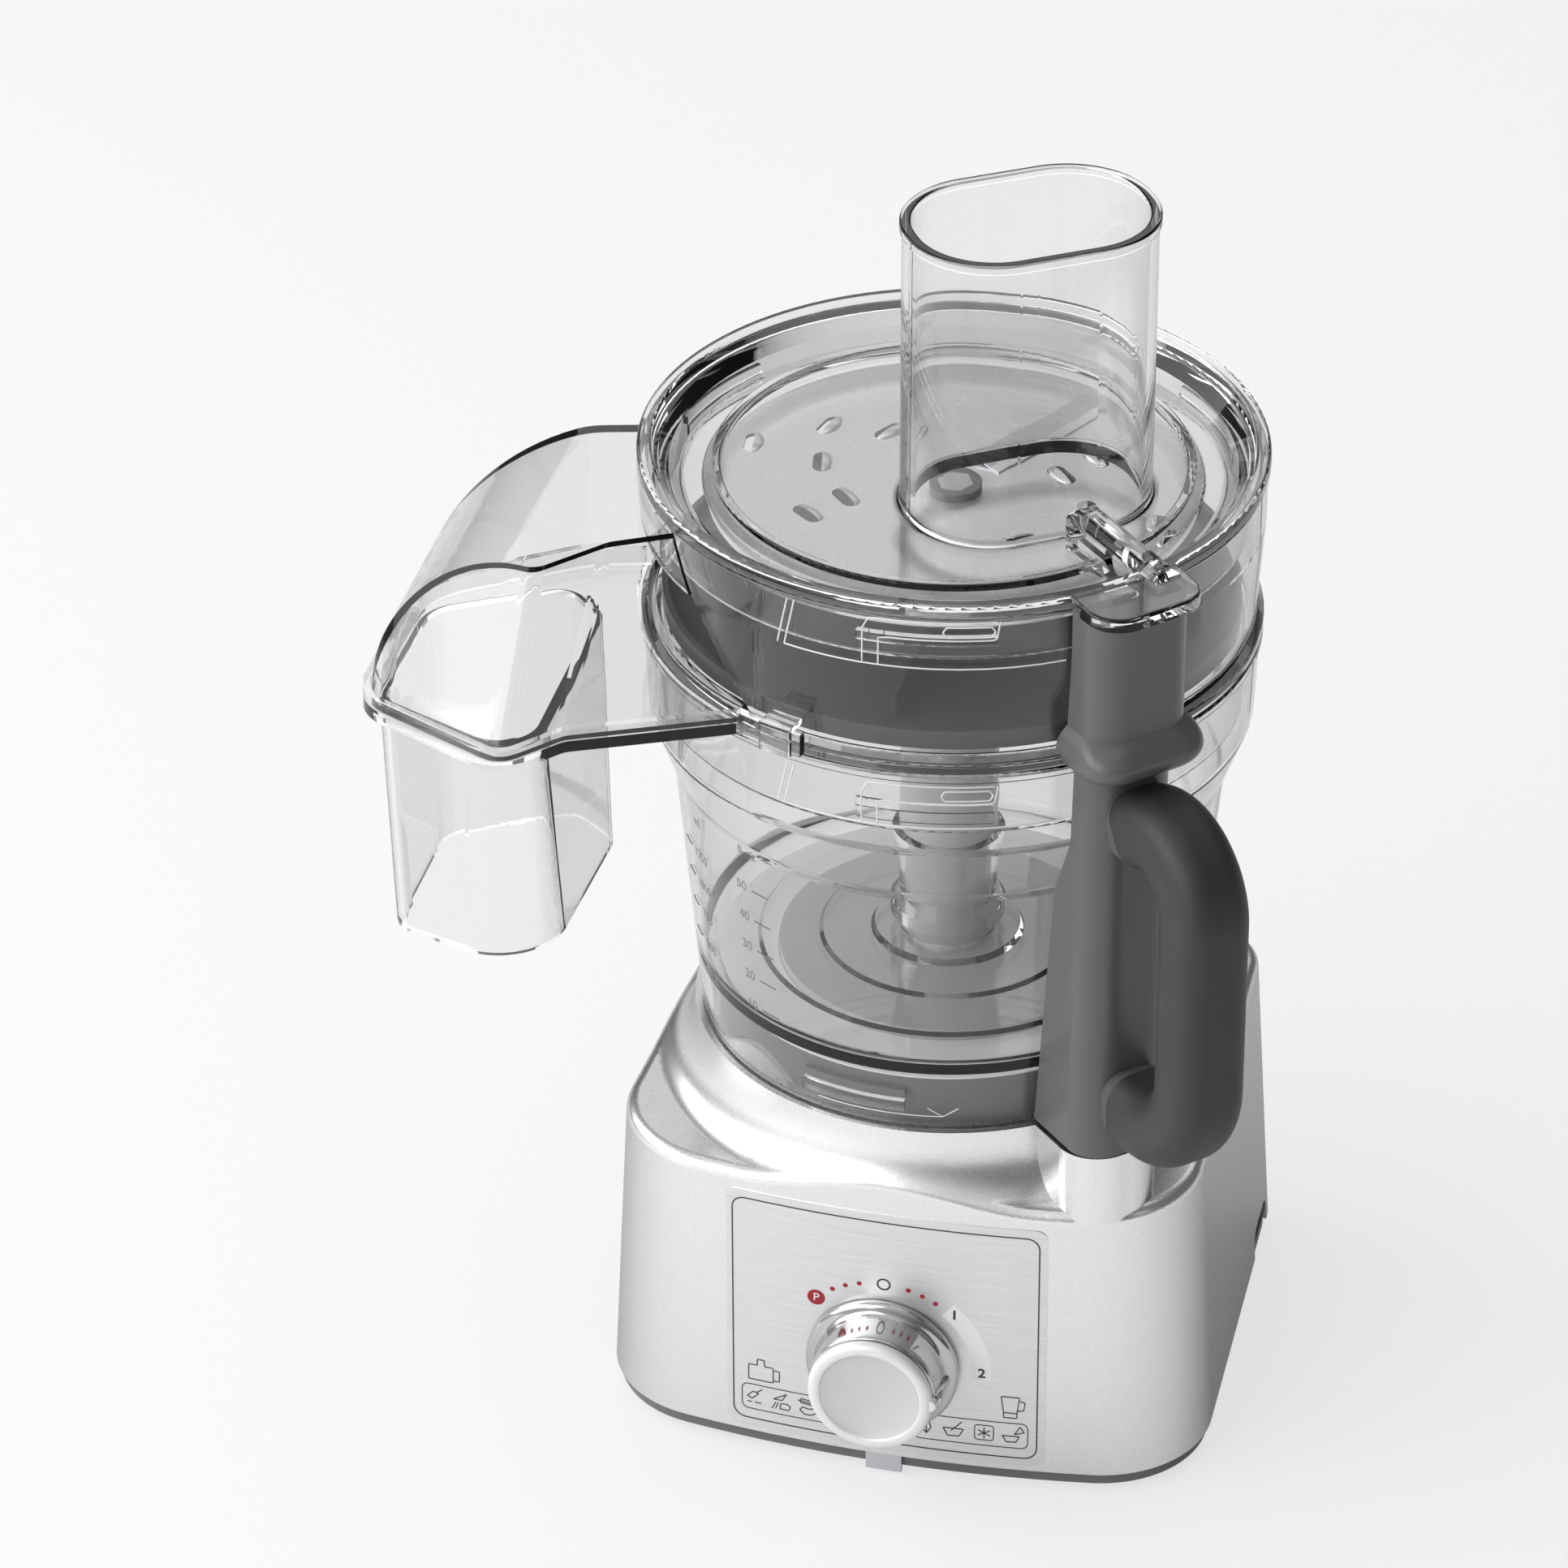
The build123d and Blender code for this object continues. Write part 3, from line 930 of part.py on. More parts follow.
lid_lugs = lugs(LID_SKIRT_R - LID_T, LID_SKIRT_R + BAYONET_REACH / 2, LID_LUG_H, LUG_H, LID_LUG_DEG)
pieces["lid"] = fused(lid, lid_lugs)

# Drive shaft and the tools that turn with it
socket_foot = BOWL_FLOOR_H + LOOSE
shaft_r = TUBE_BORE_R - SHAFT_GAP
shaft = ring(0, shaft_r, socket_foot, TUBE_TOP + LOOSE) + ring(0, SHAFT_R, TUBE_TOP + LOOSE, SHAFT_TOP)
hub_top = DISC_FOOT + DISC_PILOT_H
shaft += hexagon(TOOL_HEX_ACROSS, SHAFT_TOP, hub_top)
pieces["drive_shaft"] = shaft - hexagon(DOG_ACROSS + 2 * HEX_FIT, socket_foot, dog_top + LOOSE)
tool_socket = hexagon(TOOL_HEX_ACROSS + 2 * HEX_FIT, SHAFT_TOP, hub_top)
sling_top = SLING_FOOT + SLING_T
sling = ring(0, SLING_R, SLING_FOOT, sling_top)
sling += ring(SLING_R - SLING_RIM_W, SLING_R, SLING_FOOT, sling_top + SLING_RIM_H)
sling += ring(0, SLING_HUB_R, SHAFT_TOP, SHAFT_TOP + SLING_HUB_H)
fin = Pos(0, 0, sling_top + SLING_FIN_H / 2) * Box(SLING_FIN_L, SLING_FIN_T, SLING_FIN_H)
fin_r = SLING_HUB_R + SLING_FIN_L / 2 - LOOSE
sling = fused(sling, [loc * fin for loc in PolarLocations(fin_r, SLING_FINS)])
pieces["sling_plate"] = sling - tool_socket
disc_top = DISC_FOOT + DISC_T
hub = ring(0, DISC_HUB_R, SHAFT_TOP + SLING_HUB_H, DISC_FOOT) + ring(0, DISC_PILOT_R, DISC_FOOT, hub_top)
pieces["disc_hub"] = hub - tool_socket
disc = ring(DISC_PILOT_R, DISC_R, DISC_FOOT, disc_top)
disc += ring(DISC_R - DISC_EDGE_W, DISC_R, DISC_FOOT - DISC_EDGE_H, DISC_FOOT)
disc_hole = Pos(0, 0, DISC_FOOT - DISC_T) * extrude(SlotOverall(HOLE_L, HOLE_W), amount=3 * DISC_T)
for radius, degrees in HOLE_SPOTS:
    for side in (0, 180):
        disc -= Rot(0, 0, degrees + side) * Pos(radius, 0, 0) * Rot(0, 0, HOLE_TURN) * disc_hole
blade_slot = Pos(BLADE_FROM + BLADE_L / 2, BLADE_SLOT / 2, DISC_FOOT) * Box(BLADE_L, BLADE_SLOT, 4 * DISC_T)
pieces["slicing_disc"] = disc - Rot(0, 0, BLADE_DEG) * blade_slot
blade_edge = outline([(-BLADE_W + BLADE_SLOT, 0), (0, 0), (BLADE_SLOT, BLADE_RISE - BLADE_T),
                      (BLADE_SLOT, BLADE_RISE), (0, BLADE_T), (-BLADE_W + BLADE_SLOT, BLADE_T)])
blade = Plane.YZ * extrude(blade_edge, amount=BLADE_L)
pieces["slicing_blade"] = Rot(0, 0, BLADE_DEG) * Pos(BLADE_FROM, 0, disc_top) * blade

os.makedirs("parts", exist_ok=True)
for name, shape in pieces.items():
    export_step(Pos(AXIS_X, AXIS_Y, 0) * shape, os.path.join("parts", name + ".step"))
print(len(pieces), "nodes, drive axis at", AXIS_X, AXIS_Y)
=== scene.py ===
import bpy
import bmesh
import json
import math
from mathutils import Matrix, Vector


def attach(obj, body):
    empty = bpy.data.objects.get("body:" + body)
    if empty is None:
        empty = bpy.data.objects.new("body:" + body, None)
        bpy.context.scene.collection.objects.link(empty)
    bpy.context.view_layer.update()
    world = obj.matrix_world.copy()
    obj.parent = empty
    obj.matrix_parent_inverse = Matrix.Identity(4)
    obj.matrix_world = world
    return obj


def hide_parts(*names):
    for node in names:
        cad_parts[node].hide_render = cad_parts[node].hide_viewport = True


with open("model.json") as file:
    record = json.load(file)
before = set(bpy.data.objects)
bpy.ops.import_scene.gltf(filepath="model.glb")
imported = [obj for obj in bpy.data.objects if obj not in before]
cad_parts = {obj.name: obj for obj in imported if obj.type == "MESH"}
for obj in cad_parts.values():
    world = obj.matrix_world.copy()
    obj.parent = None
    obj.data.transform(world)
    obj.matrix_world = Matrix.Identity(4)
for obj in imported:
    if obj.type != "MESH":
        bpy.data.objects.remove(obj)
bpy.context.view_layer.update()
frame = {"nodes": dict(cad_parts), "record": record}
nodes = frame["nodes"]
scene = bpy.context.scene
driveAxis = Vector((0.0237, 0.016, 0.0))  # every piece is drawn about this axis, then moved to it
mm = 0.001
upright = math.radians(90)  # about x, from lying in x and y to standing in x and z
print("frame loaded,", len(nodes), "nodes")


# shader values

class Wire:
    def __init__(self, tree, socket=None):
        self.tree = tree
        self.socket = socket

    def node(self, kind, settings, sockets, out=0):
        made = self.tree.nodes.new(kind)
        for name, value in settings.items():
            if name == "stops":
                # a ramp starts with two stops, and the rest are added
                for k, (place, colour) in enumerate(value):
                    stop = made.color_ramp.elements[k] if k < 2 else made.color_ramp.elements.new(place)
                    stop.position = place
                    stop.color = colour
            else:
                setattr(made, name, value)
        for name, value in sockets.items():
            if isinstance(value, Wire):
                self.tree.links.new(value.socket, made.inputs[name])
            else:
                made.inputs[name].default_value = value
        return Wire(self.tree, made.outputs[out] if made.outputs else None)

    def maths(self, operation, first, second):
        return self.node("ShaderNodeMath", {"operation": operation}, {0: first, 1: second})

    def __add__(self, other):
        return self.maths("ADD", self, other)

    def __radd__(self, other):
        return self.maths("ADD", other, self)

    def __sub__(self, other):
        return self.maths("SUBTRACT", self, other)

    def __rsub__(self, other):
        return self.maths("SUBTRACT", other, self)

    def __mul__(self, other):
        return self.maths("MULTIPLY", self, other)

    def __rmul__(self, other):
        return self.maths("MULTIPLY", other, self)

    def __pow__(self, other):
        return self.maths("POWER", self, other)

    def larger(self, other):
        return self.maths("MAXIMUM", self, other)

    def above(self, limit):
        return self.maths("GREATER_THAN", self, limit)


def startMaterial(name):
    made = bpy.data.materials.new(name)
    made.use_nodes = True
    made.node_tree.nodes.clear()
    return made, Wire(made.node_tree)


def endMaterial(made, wire, shader):
    wire.node("ShaderNodeOutputMaterial", {}, {"Surface": shader})
    return made


def objectSpace(wire, scale=(1, 1, 1)):
    place = wire.node("ShaderNodeTexCoord", {}, {}, "Object")
    return wire.node("ShaderNodeMapping", {}, {"Vector": place, "Scale": scale})


def noise(wire, place, scale, detail=2.0, rough=0.5):
    return wire.node("ShaderNodeTexNoise", {}, {"Vector": place, "Scale": scale, "Detail": detail,
                                                "Roughness": rough})


mixSockets = {"factor": 0, "first": 6, "second": 7, "result": 2}  # of a Mix node set to colours


def tint(wire, mask, first, second):
    # each end is a colour or another node's value
    ends = [end if isinstance(end, Wire) else end + (1,) for end in (first, second)]
    sockets = {mixSockets["factor"]: mask, mixSockets["first"]: ends[0], mixSockets["second"]: ends[1]}
    return wire.node("ShaderNodeMix", {"data_type": "RGBA"}, sockets, mixSockets["result"])


def shaded(colour, amount):
    return tuple(min(1.0, c * amount) for c in colour)


def varied(wire, mask, colour, spread):
    return tint(wire, mask, shaded(colour, 1 - spread), shaded(colour, 1 + spread))


def grazing(wire, power):
    # 0 where a face is seen straight on, 1 where it is seen edge on
    return wire.node("ShaderNodeLayerWeight", {}, {"Blend": 0.5}, "Facing") ** power


def bump(wire, height, strength, distance):
    return wire.node("ShaderNodeBump", {}, {"Height": height, "Strength": strength, "Distance": distance})


def principled(wire, sockets):
    return wire.node("ShaderNodeBsdfPrincipled", {}, sockets)


plastic = {"detail": 3.0, "swing": 0.12, "height": 0.0002, "broad": 14.0}


def grained(wire, place, colour, rough, grain=900.0, depth=0.05):
    fine = noise(wire, place, grain, plastic["detail"])
    return principled(wire, {"Base Color": colour, "Roughness": rough + (fine - 0.5) * plastic["swing"],
                             "Normal": bump(wire, fine, depth, plastic["height"])})


def mouldedPlastic(name, colour, rough, grain=900.0, depth=0.05, spread=0.06):
    made, wire = startMaterial(name)
    place = objectSpace(wire)
    colours = varied(wire, noise(wire, place, plastic["broad"]), colour, spread)
    return endMaterial(made, wire, grained(wire, place, colours, rough, grain, depth))


metal = {"detail": 3.0, "noiseRough": 0.6, "swing": 0.16, "height": 0.0001, "edgeShadePower": 2.0}


def metalFinish(name, colour, rough, stretch=(1, 1, 1), scale=300.0, depth=0.04, metallic=1.0, spread=0.07,
                edgeShade=1.0):
    # how bright the lacquer stays where it is seen at a flat angle: a painted shade that darkens faces seen
    # edge on
    made, wire = startMaterial(name)
    lines = noise(wire, objectSpace(wire, stretch), scale, metal["detail"], metal["noiseRough"])
    colours = varied(wire, lines, colour, spread)
    # painted shade: the colour falls towards a darker tone where a face is seen edge on
    if edgeShade < 1.0:
        colours = tint(wire, grazing(wire, metal["edgeShadePower"]), colours, shaded(colour, edgeShade))
    return endMaterial(made, wire, principled(wire, {
        "Base Color": colours, "Metallic": metallic, "Roughness": rough + (lines - 0.5) * metal["swing"],
        "Normal": bump(wire, lines, depth, metal["height"])}))


def rays(wire, *kinds):
    # 1 for a ray of any of the kinds named
    found = [wire.node("ShaderNodeLightPath", {}, {}, kind) for kind in kinds]
    total = found[0]
    for other in found[1:]:
        total = total.larger(other)
    return total


clearWall = {"tone": (0.905, 0.905, 0.90), "edgePower": 3.0, "index": 1.44}


def clearPlastic(name, clear, edge, rough=0.012):
    # shadows and soft light pass through a veil, so that what is inside stays lit
    made, wire = startMaterial(name)
    # where a wall is seen edge on it darkens towards the edge colour: partly a longer path through the
    # plastic, partly painted shade for dark edge reflections
    colours = tint(wire, grazing(wire, clearWall["edgePower"]), clear, edge)
    wall = principled(wire, {"Base Color": colours, "Roughness": rough, "IOR": clearWall["index"],
                             "Transmission Weight": 1.0})
    veil = wire.node("ShaderNodeBsdfTransparent", {}, {"Color": tuple(c ** 0.5 for c in clear) + (1,)})
    passing = rays(wire, "Is Shadow Ray", "Is Diffuse Ray")
    return endMaterial(made, wire, wire.node("ShaderNodeMixShader", {}, {0: passing, 1: wall, 2: veil}))


def seatMoulding(name, zones, rough):
    # a pale plate inside a bright step, on a darker wall
    made, wire = startMaterial(name)
    place = objectSpace(wire)
    x, y, z = (wire.node("ShaderNodeSeparateXYZ", {}, {"Vector": place}, axis) for axis in "XYZ")
    radius = ((x - driveAxis.x) ** 2 + (y - driveAxis.y) ** 2) ** 0.5
    top = tint(wire, radius.above(zones["plateR"] * mm), zones["plate"], zones["step"])
    colours = tint(wire, z.above(zones["stepH"] * mm), zones["wall"], top)
    return endMaterial(made, wire, grained(wire, place, colours, rough))


ink = {"scale": 1200.0, "spread": 0.1, "rough": 0.45}


def printedInk(name, colour):
    made, wire = startMaterial(name)
    colours = varied(wire, noise(wire, objectSpace(wire), ink["scale"]), colour, ink["spread"])
    return endMaterial(made, wire, principled(wire, {"Base Color": colours, "Roughness": ink["rough"]}))


finish = {
    # the silver lacquer gets painted shade where it is seen edge on
    "silver_shell": metalFinish("silverLacquer", (0.93, 0.932, 0.935), 0.28, scale=2600.0, depth=0.12,
                                edgeShade=0.2),
    "brushed_panel": metalFinish("brushedPanel", (0.80, 0.80, 0.805), 0.36, stretch=(45, 45, 2100), scale=1.0,
                                 depth=0.22, metallic=0.85, spread=0.16),
    "dark_plastic": mouldedPlastic("greyMoulding", (0.15, 0.15, 0.158), 0.38),
    "rubber_black": mouldedPlastic("footRubber", (0.02, 0.02, 0.02), 0.7),
    "steel_dark": metalFinish("turnedSteel", (0.40, 0.40, 0.41), 0.32),
    "smoke_tab": mouldedPlastic("paleTab", (0.56, 0.57, 0.60), 0.22, depth=0.03),
    "board_green": mouldedPlastic("boardLacquer", (0.03, 0.16, 0.07), 0.35),
    "cast_alloy": metalFinish("castAlloy", (0.52, 0.52, 0.53), 0.5),
    "bronze": metalFinish("bushBronze", (0.50, 0.34, 0.17), 0.42),
    "copper": metalFinish("commutatorCopper", (0.60, 0.27, 0.15), 0.35),
    "white_nylon": mouldedPlastic("whiteNylon", (0.78, 0.78, 0.76), 0.4),
    "chrome_knob": metalFinish("dialChrome", (0.56, 0.56, 0.57), 0.1, scale=60.0, depth=0.005, spread=0.02),
    "satin_face": metalFinish("dialSatin", (0.84, 0.84, 0.84), 0.36, scale=900.0, depth=0.03, metallic=0.25,
                              spread=0.03),
    # the clear walls get painted shade at their edges
    "clear_plastic": clearPlastic("clearPlastic", clearWall["tone"], (0.27, 0.275, 0.285)),
    "gloss_charcoal": mouldedPlastic("smoothCharcoal", (0.115, 0.116, 0.12), 0.3, 1400.0, 0.015, 0.05),
    "soft_charcoal": mouldedPlastic("softCharcoal", (0.031, 0.031, 0.0325), 0.5, 1700.0, 0.35),
    # the clip's clear plastic gets painted shade at its edges
    "silver_clip": clearPlastic("clipPlastic", (0.90, 0.90, 0.905), (0.30, 0.305, 0.315), 0.05),
    "grey_plastic": mouldedPlastic("toolGrey", (0.17, 0.17, 0.18), 0.35),
    "disc_steel": metalFinish("discSteel", (0.77, 0.765, 0.79), 0.30, scale=500.0, depth=0.03, metallic=0.8,
                              spread=0.04),
}
ownFinish = {
    "bowl_seat": seatMoulding("seatGrey", {"plateR": 55.5, "stepH": 152.5, "plate": (0.46, 0.46, 0.49),
                                           "step": (0.86, 0.86, 0.87), "wall": (0.15, 0.15, 0.16)}, 0.38),
    # the chute's and hood's edges get painted shade of their own strength
    "serving_chute": clearPlastic("chutePlastic", clearWall["tone"], (0.52, 0.525, 0.535)),
    "serve_housing": clearPlastic("hoodPlastic", clearWall["tone"], (0.40, 0.405, 0.415)),
    "sling_plate": mouldedPlastic("slingGrey", (0.055, 0.055, 0.059), 0.3),
    "drive_shaft": mouldedPlastic("shaftGrey", (0.46, 0.46, 0.475), 0.24),
}
for row in frame["record"]["subparts"]:
    mesh = nodes[row["node"]].data
    mesh.materials.clear()
    mesh.materials.append(ownFinish.get(row["node"], finish[row["material_slot"]]))
print("finishes set,", len(finish), "and", len(ownFinish), "of a node's own")


# meshes

def spinLoop(points, turn=360.0, steps=96, closed=True):
    # points are (radius, height) in millimetres, spun about the z axis
    bm = bmesh.new()
    made = [bm.verts.new((r * mm, 0, h * mm)) for r, h in points]
    pairs = list(zip(made, made[1:])) + ([(made[-1], made[0])] if closed else [])
    edges = [bm.edges.new(pair) for pair in pairs]
    bmesh.ops.spin(bm, geom=made + edges, cent=(0, 0, 0), axis=(0, 0, 1), dvec=(0, 0, 0),
                   angle=math.radians(turn), steps=steps, use_merge=turn == 360.0, use_duplicate=False)
    bmesh.ops.remove_doubles(bm, verts=bm.verts[:], dist=0.001 * mm)
    return bm


def softenEdges(bm, width, angle, segments):
    sharp = [e for e in bm.edges if len(e.link_faces) == 2 and e.calc_face_angle(0) > math.radians(angle)]
    bmesh.ops.bevel(bm, geom=sharp, offset=width * mm, offset_type="OFFSET", affect="EDGES",
                    segments=segments, profile=0.5, material=-1, clamp_overlap=True)


def cutAcross(bm, place, normal, drop=False):
    bmesh.ops.bisect_plane(bm, geom=bm.verts[:] + bm.edges[:] + bm.faces[:], plane_co=place, plane_no=normal,
                           clear_inner=drop)


def standUp(bm, x, z):
    bmesh.ops.rotate(bm, verts=bm.verts[:], cent=(0, 0, 0), matrix=Matrix.Rotation(upright, 3, "X"))
    bmesh.ops.translate(bm, verts=bm.verts[:], vec=(x * mm, 0, z * mm))


def toMesh(bm, name):
    bmesh.ops.recalc_face_normals(bm, faces=bm.faces[:])
    mesh = bpy.data.meshes.new(name)
    bm.to_mesh(mesh)
    bm.free()
    return mesh


def joined(meshes, name):
    bm = bmesh.new()
    for mesh in meshes:
        bm.from_mesh(mesh)
        bpy.data.meshes.remove(mesh)
    made = bpy.data.meshes.new(name)
    bm.to_mesh(made)
    bm.free()
    return made


def addPiece(name, mesh, body, material, replaced=(), smooth=40.0):
    for face in mesh.polygons:
        face.use_smooth = True
    mesh.set_sharp_from_angle(angle=math.radians(smooth))
    mesh.materials.clear()
    mesh.materials.append(material)
    piece = bpy.data.objects.new(name, mesh)
    scene.collection.objects.link(piece)
    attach(piece, body)
    if replaced:
        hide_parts(*replaced)


# flat drawings stand in x and z, in millimetres, and are then laid on a wall

inkThick = 0.06
bendEvery = 4  # millimetres between the cuts that let a flat band bend


def curveMesh(curve):
    holder = bpy.data.objects.new("drawing", curve)
    mesh = bpy.data.meshes.new_from_object(holder)
    bpy.data.objects.remove(holder)
    bpy.data.curves.remove(curve)
    return mesh


def strokeMesh(lines, width):
    curve = bpy.data.curves.new("strokes", "CURVE")
    curve.dimensions = "3D"
    curve.bevel_depth = width / 2 * mm
    curve.bevel_resolution = 1
    curve.use_fill_caps = True
    for points in lines:
        spline = curve.splines.new("NURBS")
        spline.points.add(len(points) - 1)
        for spot, (x, z) in zip(spline.points, points):
            spot.co = (x * mm, 0, z * mm, 1)
        spline.order_u = 2
        spline.use_endpoint_u = True
        spline.resolution_u = 8
    return curveMesh(curve)


def letterMesh(text, size, x, z, thick=inkThick, bold=0.0):
    font = bpy.data.curves.new("letters", "FONT")
    font.body = text
    font.size = size * mm
    font.offset = bold * mm
    font.align_x = "CENTER"
    font.align_y = "CENTER"
    font.extrude = thick / 2 * mm
    mesh = curveMesh(font)
    mesh.transform(Matrix.Translation((x * mm, 0, z * mm)) @ Matrix.Rotation(upright, 4, "X"))
    return mesh


def frameMesh(box, corner, line):
    # a rounded outline as a thin flat band
    left, right, foot, top = box
    wide = right - left
    bm = bmesh.new()
    bmesh.ops.create_grid(bm, x_segments=1, y_segments=1, size=0.5)
    bmesh.ops.scale(bm, verts=bm.verts[:], vec=(wide * mm, (top - foot) * mm, 1))
    bmesh.ops.bevel(bm, geom=bm.verts[:], offset=corner * mm, offset_type="OFFSET", affect="VERTICES",
                    segments=6, profile=0.5, material=-1)
    inner = bmesh.ops.inset_region(bm, faces=bm.faces[:], thickness=line * mm, use_even_offset=True,
                                   use_boundary=True)
    rim = set(inner["faces"])
    bmesh.ops.delete(bm, geom=[f for f in bm.faces if f not in rim], context="FACES")
    cuts = int(wide / bendEvery)
    for k in range(1, cuts):
        cutAcross(bm, ((k / cuts - 0.5) * wide * mm, 0, 0), (1, 0, 0))
    lifted = bmesh.ops.extrude_face_region(bm, geom=bm.faces[:])
    raised = [v for v in lifted["geom"] if isinstance(v, bmesh.types.BMVert)]
    bmesh.ops.translate(bm, verts=raised, vec=(0, 0, inkThick * mm))
    standUp(bm, (left + right) / 2, (foot + top) / 2)
    return toMesh(bm, "frame")


def discMesh(x, z, radius, hole=0.0):
    bm = spinLoop([(hole, 0), (radius, 0), (radius, inkThick), (hole, inkThick)], steps=32)
    standUp(bm, x, z)
    return toMesh(bm, "disc")


shell = {"footH": 8.0, "deckH": 113.0, "footHalf": 102.0, "deckHalf": 97.0, "footFront": 86.0,
         "deckFront": 88.0, "crown": 12.0, "panelProud": 0.3}


def panelFront(x, z):
    # how far in front of the drive axis the panel's face stands
    run = (z - shell["footH"]) / (shell["deckH"] - shell["footH"])
    half = shell["footHalf"] + (shell["deckHalf"] - shell["footHalf"]) * run
    front = shell["footFront"] + (shell["deckFront"] - shell["footFront"]) * run
    arc = (half ** 2 + shell["crown"] ** 2) / (2 * shell["crown"])
    return front + shell["panelProud"] - arc + math.sqrt(arc ** 2 - x ** 2)


def layOnPanel(mesh):
    for v in mesh.vertices:
        v.co.y -= panelFront(v.co.x / mm, v.co.z / mm) * mm
        v.co += driveAxis
    return mesh


# the clear walls, each as (radius, height) at its foot and at its top
walls = {"bowl": ((80.0, 136.5), (89.0, 230.0)), "band": ((97.3, 252.0), (98.4, 279.4)),
         "housing": ((97.0, 288.5), (99.1, 321.5))}


def wallRadius(wall, h):
    (footR, footH), (topR, topH) = walls[wall]
    return footR + (topR - footR) * min(1.0, max(0.0, (h - footH) / (topH - footH)))


def layOnWall(mesh, wall, degrees):
    for v in mesh.vertices:
        radius = wallRadius(wall, v.co.z / mm) * mm
        angle = math.radians(degrees) + v.co.x / radius
        out = radius - v.co.y
        v.co = Vector((out * math.cos(angle), out * math.sin(angle), v.co.z)) + driveAxis
    return mesh


# dial on the front panel, drawn as (radius, height above the panel)
dial = {"height": 46.5, "gap": 0.8, "steps": 96, "smooth": 50.0, "pipR": 2.3, "pipSteps": 24, "pipBevel": 3}
skirt = {"outline": [(3.2, 0.0), (25.1, 0.0), (25.4, 0.3), (25.5, 0.9), (25.4, 1.9), (25.0, 2.6),
                     (24.2, 3.1), (23.2, 3.4), (22.4, 3.8), (21.9, 4.6), (21.7, 6.0), (21.5, 9.0),
                     (21.3, 13.0), (21.2, 15.3), (20.9, 15.8), (20.4, 15.9), (3.2, 15.9)],
         "pip": {"foot": 2.6, "top": 15.6, "at": 21.0, "soft": 0.5}}
face = {"outline": [(16.4, 16.0), (19.9, 16.0), (20.5, 16.3), (20.8, 17.0), (20.8, 17.9), (20.5, 18.8),
                    (19.9, 19.5), (19.0, 19.9), (18.0, 20.0), (17.2, 19.9), (16.7, 19.6), (16.4, 19.1)],
        "pip": {"foot": 16.0, "top": 19.4, "at": 20.0, "soft": 0.6}}
dish = {"outline": [(0.0, 16.0), (16.5, 16.0), (16.5, 19.4), (16.1, 19.2), (15.0, 18.75), (13.0, 18.1),
                    (10.0, 17.4), (7.0, 16.95), (3.5, 16.65), (0.0, 16.55)], "closed": False}
dialFront = -(panelFront(0, dial["height"]) + dial["gap"])
dialCentre = driveAxis + Vector((0, dialFront * mm, dial["height"] * mm))
dialPlace = Matrix.Translation(dialCentre) @ Matrix.Rotation(upright, 4, "X")


def pipMesh(pip):
    bm = bmesh.new()
    made = bmesh.ops.create_cone(bm, cap_ends=True, segments=dial["pipSteps"], radius1=dial["pipR"] * mm,
                                 radius2=dial["pipR"] * mm, depth=(pip["top"] - pip["foot"]) * mm)
    middle = (pip["foot"] + pip["top"]) / 2
    bmesh.ops.translate(bm, verts=made["verts"], vec=(pip["at"] * mm, 0, middle * mm))
    softenEdges(bm, pip["soft"], dial["smooth"], dial["pipBevel"])
    return toMesh(bm, "pip")


def addDialPiece(name, shape, material, replaced=()):
    spun = spinLoop(shape["outline"], steps=dial["steps"], closed=shape.get("closed", True))
    meshes = [toMesh(spun, "spun")]
    if "pip" in shape:
        meshes.append(pipMesh(shape["pip"]))
    mesh = joined(meshes, name)
    mesh.transform(dialPlace)
    addPiece(name, mesh, "knob", material, replaced, dial["smooth"])


dishSatin = metalFinish("dishSatin", (0.68, 0.685, 0.70), 0.38, scale=900.0, depth=0.03, metallic=0.35,
                        spread=0.03)
addDialPiece("dialSkirt", skirt, finish["chrome_knob"], ["knob_skirt"])
addDialPiece("dialFace", face, finish["satin_face"], ["knob_cap"])
addDialPiece("dialDish", dish, dishSatin)
print("dial made")

# raised teeth over the holes of the slicing disc, as radius and angle from the drive axis
teeth = {"spots": [(68.0, 172.0), (53.0, 151.0), (43.5, 176.0), (38.0, 135.0), (35.0, 208.0), (49.5, 216.0)],
         "turn": 105.0, "half": (6.2, 3.2, 1.5), "wall": 0.3, "top": 327.15}


def toothMesh(radius, degrees):
    # a quarter of a flattened ball, open at one long side
    bm = bmesh.new()
    bmesh.ops.create_uvsphere(bm, u_segments=24, v_segments=16, radius=mm)
    for normal in ((0, 0, 1), (0, 1, 0)):
        cutAcross(bm, (0, 0, 0), normal, drop=True)
    bmesh.ops.scale(bm, verts=bm.verts[:], vec=teeth["half"])
    bmesh.ops.recalc_face_normals(bm, faces=bm.faces[:])
    bmesh.ops.solidify(bm, geom=bm.faces[:], thickness=teeth["wall"] * mm)
    onDisc = Matrix.Translation(driveAxis + Vector((0, 0, teeth["top"] * mm)))
    outward = Matrix.Rotation(math.radians(degrees), 4, "Z") @ Matrix.Translation((radius * mm, 0, 0))
    place = onDisc @ outward @ Matrix.Rotation(math.radians(teeth["turn"]), 4, "Z")
    bmesh.ops.transform(bm, matrix=place, verts=bm.verts[:])
    return toMesh(bm, "tooth")


allTeeth = [toothMesh(radius, degrees + side) for radius, degrees in teeth["spots"] for side in (0.0, 180.0)]
addPiece("discTeeth", joined(allTeeth, "discTeeth"), "drive", finish["disc_steel"])
print("disc teeth made,", len(allTeeth))

